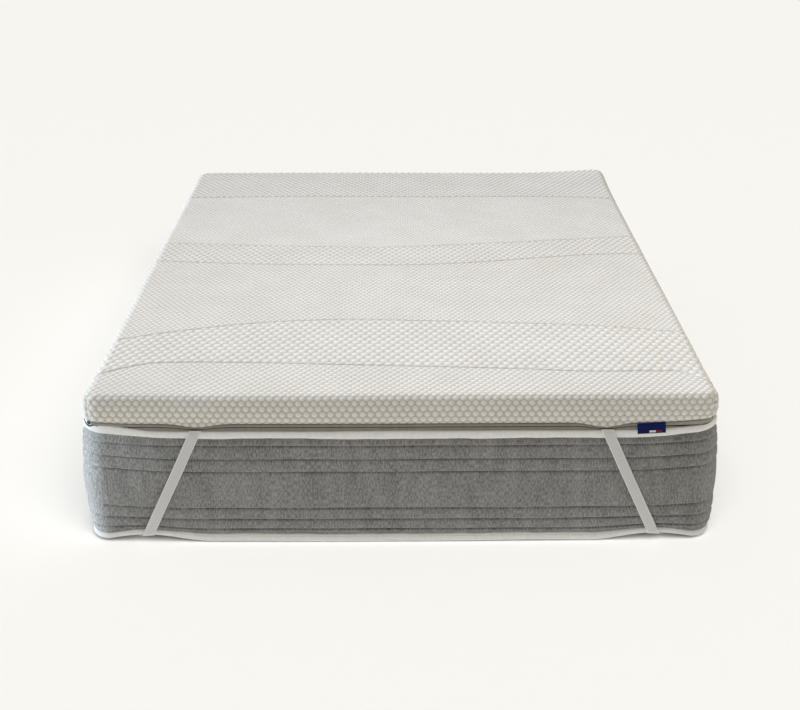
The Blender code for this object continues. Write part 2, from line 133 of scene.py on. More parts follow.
# How far the upper tape's lower edge is drawn up, along the foot end from left to right
TAPE_RISES = ((-0.72, 0.0040), (-0.64, 0.0030), (-0.60, 0.0045), (-0.45, 0.0030), (-0.37, 0.0024),
              (-0.29, 0.0045), (-0.20, 0.0031), (-0.11, 0.0007), (-0.02, 0.0), (0.10, 0.0013),
              (0.24, 0.0012), (0.33, 0.0031), (0.40, 0.0026), (0.60, 0.0026), (0.65, 0.0050), (0.72, 0.0050))

Zone = namedtuple("Zone", "name pitch repeat rise across along spacing contrast")

# The knit's zones from the foot end: bubble pitch across, repeat of two rows along, rise, where a
# bubble's middle lies, the mesh's spacing, and how strong the painted shade between the bubbles is
ZONES = (
    Zone("zone_1_small", 0.0176, 0.0240, 0.0016, 0.0035, -0.9360, 0.0031, 1.00),
    Zone("zone_2_large", 0.0226, 0.0370, 0.0021, -0.0053, -0.9500, 0.0036, 1.10),
    Zone("zone_3_small", 0.0156, 0.0245, 0.0012, 0.0059, -0.9500, 0.0030, 1.10),
    Zone("zone_4_large", 0.0209, 0.0336, 0.0015, -0.0004, -0.9500, 0.0036, 1.10),
    Zone("zone_5_small", 0.0149, 0.0236, 0.0004, 0.0006, -0.9500, 0.0042, 0.50),
    Zone("zone_6_large", 0.0209, 0.0328, 0.0015, -0.0043, -0.9500, 0.0038, 0.95),
)

# Distance from the foot edge of each groove, from left to right
GROOVES = (
    ((-0.72, 0.090), (-0.69, 0.121), (-0.64, 0.160), (-0.58, 0.190), (-0.50, 0.197), (-0.39, 0.195),
     (-0.07, 0.177), (0.27, 0.154), (0.43, 0.138), (0.58, 0.137), (0.64, 0.130), (0.68, 0.090),
     (0.72, 0.060)),
    ((-0.72, 0.325), (-0.57, 0.383), (-0.38, 0.436), (-0.15, 0.464), (0.10, 0.456), (0.29, 0.441),
     (0.52, 0.411), (0.72, 0.366)),
    ((-0.72, 0.934), (-0.36, 0.895), (-0.14, 0.886), (0.08, 0.886), (0.25, 0.914), (0.39, 0.950),
     (0.60, 0.991), (0.72, 0.991)),
    ((-0.72, 1.097), (-0.30, 1.060), (0.00, 1.045), (0.22, 1.072), (0.45, 1.117), (0.72, 1.170)),
    ((-0.72, 1.580), (0.00, 1.580), (0.50, 1.580), (0.72, 1.560)),
)
GROOVE_SPAN = 0.72
CREASE = ((0.42, 0.770), (0.50, 0.790), (0.58, 0.799), (0.67, 0.818))


# ---- settings -------------------------------------------------------------------------------------

def colour(name, description, default):
    """A colour that a user can change."""
    return FloatVectorProperty(name=name, description=description, default=default, size=3,
                               subtype="COLOR", min=0.0, max=1.0)


def amount(name, description, default, **options):
    """A number that a user can change."""
    return FloatProperty(name=name, description=description, default=default, precision=4, min=0.0,
                         **options)


class CoverSettings(bpy.types.PropertyGroup):
    """The topper's knitted cover."""
    rise: amount("Bubble rise", "Height of the bubbles against the measured one", 1.0, max=2.0)
    groove_depth: amount("Groove depth", "Depth of the lines between the zones", 0.0019, unit="LENGTH")
    groove_width: amount("Groove width", "Half width of the lines between the zones", 0.0030, unit="LENGTH")
    yarn: colour("Yarn", "Colour of the bubbles", (0.880, 0.865, 0.830))
    # Darker knit colour: mostly painted shade between the bubbles, in the grooves and crease and down the
    # border, and a little of the knit's own uneven tone
    gap: colour("Between bubbles", "Colour of the knit between the bubbles", (0.500, 0.465, 0.405))


class TrimSettings(bpy.types.PropertyGroup):
    """Zip, straps, label and tapes."""
    zip_upper: colour("Upper zip tape", "Colour of the zip's upper tape", (0.310, 0.295, 0.255))
    zip_lower: colour("Lower zip tape", "Colour of the zip's lower tape", (0.330, 0.310, 0.265))
    # Near-black: the coil's and slider's own colour; in the slit the coil also paints the shadow of the gap
    # between the tapes
    coil: colour("Zip coil", "Colour of the zip's coil and slider", (0.020, 0.020, 0.021))
    elastic: colour("Elastic", "Colour of the straps", (0.745, 0.75, 0.74))
    label: colour("Label", "Ground colour of the woven label", (0.002, 0.007, 0.080))
    tape: colour("Edge tape", "Colour of the mattress's tapes", (0.93, 0.925, 0.895))


class MattressSettings(bpy.types.PropertyGroup):
    """The plain mattress."""
    channel_depth: amount("Channel depth", "How far the stitching pulls the border in", 0.0034,
                          unit="LENGTH")
    pucker: amount("Pucker", "Height of the small folds beside the stitching", 0.0006, unit="LENGTH")
    light_yarn: colour("Light yarn", "Lighter of the border's two yarns", (0.358, 0.355, 0.338))
    dark_yarn: colour("Dark yarn", "Darker of the border's two yarns", (0.140, 0.139, 0.131))
    thread: colour("Thread", "Colour of the stitching", (0.05, 0.05, 0.047))


class StageSettings(bpy.types.PropertyGroup):
    """Floor, light and camera."""
    floor: colour("Floor", "Colour of the floor", (0.95, 0.948, 0.935))
    sky: amount("Sky", "Strength of the light from all round", 0.30)
    overhead: amount("Overhead", "Strength of the light from above", 1.14)
    window: amount("Window", "Strength of the cool light from the left", 2.40)
    window_low: amount("Low window", "Strength of the low light on the mattress", 5.0)
    floor_light: amount("Floor light", "Strength of the light on the floor", 2.72)
    lamp: amount("Lamp", "Power of the soft light above the foot end", 5.0, unit="POWER")
    side_lamp: amount("Side lamp", "Power of the cool light beside the left corner", 3.0, unit="POWER")
    warm: amount("Warm", "Power of the warm light above the right side", 2.2, unit="POWER")
    focal_length: amount("Focal length", "Focal length of the camera", 61.33, unit="CAMERA")


# ---- curves and outlines --------------------------------------------------------------------------

def course(places, table):
    """A smooth curve through the table's points, read at the places."""
    knots, values = np.array(table, float).T
    slopes = np.gradient(values, knots)
    index = np.clip(np.searchsorted(knots, places) - 1, 0, len(knots) - 2)
    width = knots[index + 1] - knots[index]
    share = np.clip((places - knots[index]) / width, 0.0, 1.0)
    rest = 1 - share
    start = (1 + 2 * share) * values[index] + share * width * slopes[index]
    end = (3 - 2 * share) * values[index + 1] - rest * width * slopes[index + 1]
    return rest ** 2 * start + share ** 2 * end


def portion(value, low, high):
    """How far a value has come from low to high, from nothing to one."""
    return np.clip((value - low) / (high - low), 0.0, 1.0)


def bell(distance, reach):
    """One at no distance, and near nothing past twice the reach."""
    return np.exp(-((distance / reach) ** 2))


def dice(first, second):
    """An even-looking number from nothing to one for each pair of whole numbers."""
    return np.mod(np.abs(np.sin(first * 12.9898 + second * 78.233)) * 43758.5453, 1.0)


def bowed(points):
    """Bow the ends and sides out a little between their corners, and set the foot end a little askew."""
    result = np.array(points, float)
    result[..., 0] *= 1 + SIDE_BOW / BED_HALF_X * (1 - (points[..., 1] / BED_HALF_Y) ** 2)
    result[..., 1] *= 1 + END_BOW / BED_HALF_Y * (1 - (points[..., 0] / BED_HALF_X) ** 2)
    towards_foot = portion(-result[..., 1], -BED_HALF_Y, BED_HALF_Y)
    result[..., 1] += END_SLANT * result[..., 0] / BED_HALF_X * towards_foot
    return result


def softened(points, share=1.0):
    """Round the mattress's corners off further at its ends, more towards its top."""
    result = np.array(points, float)
    x, y, z = (result[..., axis].copy() for axis in range(3))
    aside = portion(np.abs(x), SOFTENED_FROM, BED_HALF_X)
    near_end = portion(np.abs(y), SOFTENED_ALONG, BED_HALF_Y)
    near_end = near_end ** 2 * (3 - 2 * near_end)
    up = portion(z, 0.0, BED_TOP)
    change = share * aside ** 2 * near_end * up
    result[..., 1] -= np.sign(y) * SOFTENED_DEPTH * change
    for side in (-1, 1):
        here = side * x > 0
        result[..., 0] += side * CORNER_BULGES[side] * change * here
        result[..., 2] += BORDER_CLIMBS[side] * share * aside * near_end * here * np.sin(np.pi * up)
    return result


def corner_share(x, y):
    """One at the corners, and nothing past about ten centimetres from them."""
    return portion(np.abs(x), 0.56, 0.65) * portion(np.abs(y), 0.81, 0.90)


def moved(points):
    """Points of the topper, moved to where it lies on the mattress, and bowed."""
    result = np.array(points, float)
    result[..., 1] += PAD_SHIFT
    return bowed(result)


def outline(half_x, half_y, corner, spacing, corner_steps):
    """Points, outward normals and run of a rounded rectangle, counter-clockwise from the front left."""
    places, normals = [], []
    for turn in range(4):
        along, out = ((half_x, half_y), (half_y, half_x))[turn % 2]
        steps = round(2 * (along - corner) / spacing)
        side = np.linspace(-(along - corner), along - corner, steps + 1)
        angles = np.radians(np.linspace(-90, 0, corner_steps + 1))[1:-1]
        x = np.concatenate([side, along - corner + corner * np.cos(angles)])
        y = np.concatenate([np.full(steps + 1, -out), -(out - corner) + corner * np.sin(angles)])
        nx = np.concatenate([np.zeros(steps + 1), np.cos(angles)])
        ny = np.concatenate([np.full(steps + 1, -1.0), np.sin(angles)])
        for _ in range(turn):
            x, y, nx, ny = -y, x, -ny, nx
        places.append(np.stack([x, y], 1))
        normals.append(np.stack([nx, ny], 1))
    places, normals = np.concatenate(places), np.concatenate(normals)
    steps = np.linalg.norm(np.roll(places, -1, 0) - places, axis=1)
    return places, normals, np.concatenate([[0.0], np.cumsum(steps)])


def ring_row(plan, height):
    """Points of an outline's plan at a height, or at one for each point."""
    return np.concatenate([plan, np.broadcast_to(height, len(plan))[:, None]], 1)


# ---- meshes ---------------------------------------------------------------------------------------

def grid_faces(rows, columns, wrap_rows=False, wrap_columns=False):
    """Quads of a grid of points, row by row."""
    row = np.arange(rows if wrap_rows else rows - 1)
    column = np.arange(columns if wrap_columns else columns - 1)
    row, column = (part.ravel() for part in np.meshgrid(row, column, indexing="ij"))
    after, beside = (row + 1) % rows, (column + 1) % columns
    return np.stack([row * columns + column, after * columns + column, after * columns + beside,
                     row * columns + beside], 1)


def point_normals(points, faces):
    """Normals at the points, from the quads round them."""
    corners = points[faces]
    across = np.cross(corners[:, 2] - corners[:, 0], corners[:, 3] - corners[:, 1])
    total = np.stack([sum(np.bincount(faces[:, k], across[:, axis], len(points)) for k in range(4))
                      for axis in range(3)], 1)
    return total / np.maximum(np.linalg.norm(total, axis=1, keepdims=True), 1e-12)


def add_piece(name, points, faces, material, maps=None, normals=None, caps=()):
    """A smooth mesh object that rides on the body. maps holds UV places for each corner of the quads."""
    mesh = bpy.data.meshes.new(name)
    mesh.from_pydata(points.reshape(-1, 3).tolist(), [], faces.tolist() + [list(cap) for cap in caps])
    for title, places in (maps or {}).items():
        layer = mesh.uv_layers.new(name=title)
        flat = np.zeros((len(mesh.loops), 2), np.float32)
        flat[:places.shape[0] * places.shape[1]] = places.reshape(-1, 2)
        layer.data.foreach_set("uv", flat.ravel())
    mesh.shade_smooth()
    if normals is not None:
        mesh.normals_split_custom_set_from_vertices(normals.tolist())
    mesh.materials.append(material)
    piece = bpy.data.objects.new(name, mesh)
    bpy.context.scene.collection.objects.link(piece)
    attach(piece, BODY)
    return piece


def add_ring(name, points, run, heights, material, capped=False):
    """Profiles round an outline, from the top down, with a height on the cloth for each row.

    The last row joins the first, or where the ring is capped, a flat face fills each end.
    """
    rows, columns = points.shape[:2]
    faces = grid_faces(rows, columns, not capped, True)
    column = faces % columns
    along = run[column]
    closing = (column.max(axis=1) - column.min(axis=1)) > 1
    along[closing] = np.where(column[closing] == 0, run[-1], along[closing])
    maps = {"cloth": np.stack([along, np.array(heights)[faces // columns]], -1)}
    ends = (range(columns), range(rows * columns - 1, (rows - 1) * columns - 1, -1))
    return add_piece(name, points, faces, material, maps, caps=ends if capped else ())


# ---- materials ------------------------------------------------------------------------------------

class Finish:
    """A material and its nodes. A value in them is a number or another node's socket."""

    def __init__(self, name, roughness, sheen=0.0, specular=0.25):
        self.material = bpy.data.materials.new(name)
        self.material.use_nodes = True
        self.tree = self.material.node_tree
        self.shader = self.tree.nodes["Principled BSDF"]
        for key, value in (("Roughness", roughness), ("Sheen Weight", sheen), ("Sheen Roughness", 0.5),
                           ("Specular IOR Level", specular)):
            self.shader.inputs[key].default_value = value

    def node(self, kind, *inputs, **settings):
        """A shader node. Each input is a socket's name or number, and its value."""
        made = self.tree.nodes.new("ShaderNode" + kind)
        for key, value in settings.items():
            setattr(made, key, value)
        for key, value in inputs:
            if isinstance(value, bpy.types.NodeSocket):
                self.tree.links.new(value, made.inputs[key])
            else:
                made.inputs[key].default_value = value
        return made

    def math(self, operation, *values):
        """Result of a Math node."""
        return self.node("Math", *enumerate(values), operation=operation).outputs[0]

    def add(self, first, second):
        """Sum of two values."""
        return self.math("ADD", first, second)

    def times(self, first, second):
        """Product of two values."""
        return self.math("MULTIPLY", first, second)

    def most(self, first, second):
        """Larger of two values."""
        return self.math("MAXIMUM", first, second)

    def vector(self, operation, *values):
        """A Vector Math node."""
        return self.node("VectorMath", *enumerate(values), operation=operation)

    def part(self, places, axis):
        """One axis of some places."""
        return self.node("SeparateXYZ", (0, places)).outputs[axis]

    def cloth(self, title="cloth"):
        """Places on the cloth, in metres or cells, from a UV map."""
        return self.node("UVMap", uv_map=title).outputs["UV"]

    def span(self, value, low, high, start=0.0, end=1.0):
        """A value taken smoothly from one range to another."""
        ends = (("From Min", low), ("From Max", high), ("To Min", start), ("To Max", end))
        made = self.node("MapRange", ("Value", value), *ends, interpolation_type="SMOOTHSTEP")
        return made.outputs["Result"]

    def blended(self, share, first, second):
        """A colour between two."""
        ends = [(socket, value if isinstance(value, bpy.types.NodeSocket) else (*value, 1.0))
                for socket, value in ((6, first), (7, second))]
        return self.node("Mix", (0, share), *ends, data_type="RGBA").outputs[2]

    def noise(self, places, scale, detail, roughness=0.5):
        """A noise value over some places. scale is one number, or one for each axis."""
        if isinstance(scale, tuple):
            places, scale = self.vector("MULTIPLY", places, (*scale, 1.0)).outputs[0], 1.0
        inputs = (("Vector", places), ("Scale", scale), ("Detail", detail), ("Roughness", roughness))
        return self.node("TexNoise", *inputs).outputs["Fac"]

    def rib(self, places, axis, pitch):
        """A wave from nothing to one along an axis of the places."""
        wave = self.math("SINE", self.times(self.part(places, axis), 2 * math.pi / pitch))
        return self.math("MULTIPLY_ADD", wave, 0.5, 0.5)

    def weave(self, places, pitch_along, pitch_across):
        """Crossing threads."""
        return self.times(self.rib(places, 0, pitch_along), self.rib(places, 1, pitch_across))

    def away(self, value, middle):
        """How far a value is from a middle."""
        return self.math("ABSOLUTE", self.math("SUBTRACT", value, middle))

    def close(self, shade, height, distance, strength):
        """Give the shader its colour and its low relief."""
        made = self.node("Bump", ("Height", height), ("Distance", distance), ("Strength", strength))
        self.tree.links.new(made.outputs["Normal"], self.shader.inputs["Normal"])
        self.tree.links.new(shade, self.shader.inputs["Base Color"])
        return self.material


def knit_material(settings):
    """Off-white bubble knit with fine stitches, and painted shade between the bubbles, in the grooves and the
    crease, and down the border to its welt.
    """
    knit = Finish("bubble_knit", 0.95, specular=0.12)
    cells = knit.cloth("cells")
    apart = None
    for offset in (0.5, 0.0):
        shifted = knit.vector("ADD", cells, (offset, offset, 0.5)).outputs[0]
        nearest = knit.vector("FRACTION", shifted).outputs[0]
        aside = knit.vector("SUBTRACT", nearest, (0.5, 0.5, 0.5)).outputs[0]
        aside = knit.vector("MULTIPLY", aside, (2.45, 3.65, 0.0)).outputs[0]
        length = knit.vector("LENGTH", aside).outputs["Value"]
        apart = length if apart is None else knit.math("MINIMUM", apart, length)
    # Painted shade in the hollows between the bubbles
    between = knit.span(apart, 0.70, 1.10)
    lines, border, cloth = knit.cloth("lines"), knit.cloth("border"), knit.cloth()
    # Painted shade in the grooves between the zones and in the small crease
    groove = knit.span(knit.part(lines, 0), 0.0008, 0.0036, 1.0, 0.0)
    line = knit.most(groove, knit.span(knit.part(lines, 1), 0.0004, 0.0024, 0.5, 0.0))
    run = knit.part(border, 0)
    # down grows from the fold towards the lower seam, for painted shade down the border
    down = knit.span(run, 0.004, 0.026)
    patchy = knit.span(knit.noise(cloth, 7.0, 3.0), 0.35, 0.65, 0.0, 0.08)
    # How strong the painted shade between the bubbles is: each zone's share, stronger down the border
    depth = knit.times(knit.add(knit.times(down, 0.20), 0.34), knit.part(border, 1))
    # Painted shade down the border, darkest on the welt above the lower seam
    painted_border_shade = knit.add(knit.times(down, 0.17), knit.times(knit.span(run, 0.068, 0.0785), 0.30))
    # All the painted shade together, with patchy, the knit's own uneven tone
    shade = knit.most(knit.add(knit.times(between, depth), patchy), knit.times(line, 0.50))
    stitches = knit.times(knit.weave(cloth, 0.0013, 0.0011), 0.05)
    height = knit.math("SUBTRACT", stitches, knit.most(knit.times(between, 0.7), line))
    return knit.close(knit.blended(knit.add(shade, painted_border_shade), settings.yarn, settings.gap), height, 0.0012, 0.8)


def woven_material(name, base, pitch, depth, mottle=0.12, seams=()):
    """A plain woven tape: crossing threads, a little mottling, and a sewn line at each of the seams."""
    tape = Finish(name, 0.8, 0.1)
    cloth = tape.cloth()
    height = tape.weave(cloth, pitch, pitch * 0.8)
    patchy = tape.span(tape.noise(cloth, 90.0, 3.0), 0.3, 0.7)
    shade = tape.add(tape.add(tape.times(patchy, 0.5), tape.times(height, -0.35)), 0.3)
    across = tape.part(cloth, 1)
    for seam in seams:
        near = tape.span(tape.away(across, seam), 0.0002, 0.0009, 1.0, 0.0)
        shade = tape.add(shade, tape.times(near, 0.9))
        height = tape.math("SUBTRACT", height, tape.times(near, 2.0))
    dark = tuple(part * (1 - 2.2 * mottle) for part in base)
    return tape.close(tape.blended(shade, base, dark), height, depth, 0.7)


def heather_material(settings):
    """Grey knit of two yarns: soft upright flecks on a melange ground."""
    knit = Finish("heather_knit", 0.92, 0.25)
    cloth = knit.cloth()
    flecks = knit.noise(cloth, (300.0, 105.0), 3.0, 0.6)
    fibres = knit.noise(cloth, (1100.0, 320.0), 2.0, 0.6)
    clouds = knit.noise(cloth, (34.0, 10.0), 2.0)
    mixed = knit.add(knit.times(flecks, 0.58), knit.times(fibres, 0.25))
    share = knit.span(knit.add(mixed, knit.times(clouds, 0.17)), 0.36, 0.64)
    sewn = 0.0
    for channel in CHANNEL_HEIGHTS:
        apart = knit.away(knit.part(cloth, 1), channel)
        sewn = knit.most(sewn, knit.span(apart, 0.0003, 0.0015, 0.22, 0.0))
    ground = knit.blended(share, settings.dark_yarn, settings.light_yarn)
    height = knit.add(knit.weave(cloth, 0.0015, 0.0012), fibres)
    return knit.close(knit.blended(sewn, ground, settings.thread), height, 0.0005, 0.5)


def elastic_material(settings):
    """Ribbed elastic: lighter at its edges, with rubber ribs along it and fine threads across."""
    elastic = Finish("elastic", 0.75, 0.15)
    cloth = elastic.cloth()
    edge = elastic.span(elastic.away(elastic.part(cloth, 1), 0.0), 0.0100, 0.0122)
    ribs = elastic.rib(cloth, 1, 0.0050)
    dark = tuple(part * 0.87 for part in settings.elastic)
    light = tuple(min(1.0, part * 1.16) for part in settings.elastic)
    shade = elastic.times(elastic.times(ribs, elastic.math("SUBTRACT", 1.0, edge)), 0.8)
    ground = elastic.blended(shade, settings.elastic, dark)
    height = elastic.add(elastic.rib(cloth, 0, 0.0012), elastic.times(ribs, -0.8))
    return elastic.close(elastic.blended(edge, ground, light), height, 0.00025, 0.6)


# The label's bars: their place up it, and for each bar its ends across it and its colour
BAR_ROW = (0.0022, 0.0068)
BARS = ((-0.0052, 0.0090, (0.72, 0.72, 0.70)), (0.0100, 0.0222, (0.165, 0.022, 0.030)))


def label_material(settings):
    """Navy woven label, bare but for two plain bars."""
    weave = Finish("label_weave", 0.85)
    cloth = weave.cloth()
    along, across = weave.part(cloth, 0), weave.part(cloth, 1)

    def band(part, low, high, soft=0.0004):
        """One between two places and nothing outside."""
        inner = weave.span(part, low - soft, low + soft)
        return weave.times(inner, weave.span(part, high - soft, high + soft, 1.0, 0.0))

    row = band(across, *BAR_ROW)
    light = tuple(part * 1.35 for part in settings.label)
    ground = weave.blended(weave.rib(cloth, 0, 0.0010), settings.label, light)
    for low, high, bar in BARS:
        ground = weave.blended(weave.times(row, band(along, low, high)), ground, bar)
    return weave.close(ground, weave.weave(cloth, 0.0007, 0.0006), 0.0002, 0.5)


def plain_material(name, base, roughness):
    """Thread, coil or enamel with a slight mottling."""
    plain = Finish(name, roughness)
    share = plain.span(plain.noise(plain.node("TexCoord").outputs["Object"], 240.0, 2.0), 0.3, 0.7)
    dark = tuple(part * 0.75 for part in base)
    return plain.close(plain.blended(share, base, dark), share, 0.0001, 0.4)


# ---- the topper's cover ---------------------------------------------------------------------------

FOLD = EDGE_ROUND + EDGE_LEAD
INNER_X = PAD_HALF_X - FOLD
INNER_Y = PAD_HALF_Y - FOLD
INNER_CORNER = PAD_CORNER - FOLD
CORE_X = INNER_X - INNER_CORNER
CORE_Y = INNER_Y - INNER_CORNER
COLUMN_STEP = 0.00305
FINE_STEP = 0.0016
GROOVE_MARKS = (0.0, 0.0011, 0.0024, 0.0044)
GROOVE_REACH = 0.015
BUBBLE_FILL = 0.490
BORDER_WIDE = 0.90
BORDER_RISES = (1.38, 0.80, 1.38, 0.80)
FOLD_ROWS = 10
BORDER_ROWS = 15
FOLD_LENGTH = EDGE_ROUND * math.pi / 2
BORDER_STRETCH = 24.0 / 26.4
WELT = ((0.0047, 0.0027), (0.0037, 0.0018), (0.0037, 0.0008), (0.0050, 0.0001), (0.0080, 0.0000))
BORDER_FOOT = 0.075
BORDER_CATCH = 0.0048
BORDER_INSET = ((0.0, 0.0055), (0.075, 0.0030), (0.30, 0.0006), (0.65, 0.0), (1.0, EDGE_LEAD))
SEAM_PINCH = 0.0036
SEAM_PUCKER = 0.0012
PUCKER_PITCH = 0.0118


def pad_top(x, y):
    """Height of the pad's upper face: crowned, a little uneven, curled up at its back right corner."""
    crown = PAD_CROWN * (1 - (x / PAD_HALF_X) ** 2) * (1 - (y / PAD_HALF_Y) ** 2)
    uneven = PAD_UNEVEN * np.sin(7.1 * x + 0.6) * np.sin(5.3 * y + 1.1)
    apart = np.hypot(x - PAD_HALF_X, y - PAD_HALF_Y)
    return PAD_TOP + crown + uneven + PAD_CURL * bell(apart, PAD_CURL_REACH)


def seam_height(x, y):
    """Height of the cover's lower seam at outline points, with its dips at the straps."""
    on_end = np.abs(y) > PAD_HALF_Y - PAD_CORNER
    aside = np.where(on_end, np.abs(x) - PAD_HALF_X, np.abs(y) - PAD_HALF_Y) + STRAP_FROM_CORNER_TOP
    lift = sum(height * bell(np.hypot(x - side * PAD_HALF_X, y + PAD_HALF_Y), CORNER_LIFT_REACH)
               for side, height in CORNER_LIFTS.items())
    dip = np.where(x < 0, SEAM_DIPS[-1], SEAM_DIPS[1])
    return SEAM_HEIGHT - dip * bell(aside, SEAM_DIP_REACH) + lift


def top_columns():
    """Places of the top's columns, close together over the corners."""
    lead = np.arange(0.0, INNER_CORNER, FINE_STEP)
    middle = np.linspace(-CORE_X, CORE_X, round(2 * CORE_X / COLUMN_STEP) + 1)
    return np.concatenate([-INNER_X + lead, middle, (INNER_X - lead)[::-1]])


def zone_shares(depth, spacing, first, last):
    """Shares of a zone's depth for its rows, close at its grooves or, at the ends, over the corner."""
    corner = np.arange(0.0, INNER_CORNER, FINE_STEP)
    lead = corner if first else np.array(GROOVE_MARKS)
    tail = corner if last else np.array(GROOVE_MARKS)
    low, high = lead[-1] + spacing * 0.8, depth - tail[-1] - spacing * 0.8
    middle = np.linspace(low, high, max(2, round((high - low) / spacing) + 1))
    return np.concatenate([lead, middle, (depth - tail)[::-1]]) / depth


def corner_mapped(x, y):
    """Bring the square corners of a plan grid onto the rounded ones."""
    p, q = portion(np.abs(x), CORE_X, INNER_X), portion(np.abs(y), CORE_Y, INNER_Y)
    round_x = np.sign(x) * (CORE_X + INNER_CORNER * p * np.sqrt(1 - q * q / 2))
    round_y = np.sign(y) * (CORE_Y + INNER_CORNER * q * np.sqrt(1 - p * p / 2))
    return np.where(p * q > 0, round_x, x), np.where(p * q > 0, round_y, y)


def bubbles(zone, x, y, wide):
    """Rise of a zone's bubbles at flat places on the cloth. wide is their width against touching ones."""
    u, v = (x - zone.across) / zone.pitch, (y - zone.along) / zone.repeat
    radius = BUBBLE_FILL * wide * math.hypot(zone.pitch, zone.repeat) / 2
    best, size = np.full(np.shape(u), 9.0), np.ones(np.shape(u))
    for offset in (0.0, 0.5):
        column, row = np.round(u - offset), np.round(v - offset)
        across, along = (u - offset - column) * zone.pitch, (v - offset - row) * zone.repeat
        apart = (across ** 2 + along ** 2) / radius ** 2
        nearer = apart < best
        size = np.where(nearer, 0.86 + 0.24 * dice(column + offset, row * 2 + offset), size)
        best = np.where(nearer, apart, best)
    return zone.rise * size * np.clip(1 - best, 0.0, 1.0) ** 0.85


def zoned_bubbles(zones, x, y, wide=1.0):
    """Rise of the bubbles at flat places, with a zone for each place of their last axis."""
    rise = np.zeros(np.shape(x))
    for index in np.unique(zones):
        pick = zones == index
        rise[..., pick] = bubbles(ZONES[index], x[..., pick], y[..., pick], wide)
    return rise


def groove_apart(x, y):
    """How far a place on the cloth is from the nearest groove, up to the reach."""
    apart = np.full(np.shape(x), GROOVE_REACH)
    places = np.linspace(-GROOVE_SPAN, GROOVE_SPAN, 73)
    for table in GROOVES:
        slope = np.gradient(course(places, table), places)
        lean = np.interp(x, places, np.cos(np.arctan(slope)))
        apart = np.minimum(apart, np.abs(y - course(x, table) + PAD_HALF_Y) * lean)
    return apart


def crease_apart(x, y):
    """How far a place on the cloth is from the small crease on the right, up to the reach."""
    start, end = CREASE[0][0], CREASE[-1][0]
    apart = np.abs(y - course(np.clip(x, start, end), CREASE) + PAD_HALF_Y)
    past = np.maximum(0.0, np.maximum(start + 0.02 - x, x - end + 0.01))
    return np.minimum(apart + 0.1 * past, GROOVE_REACH)


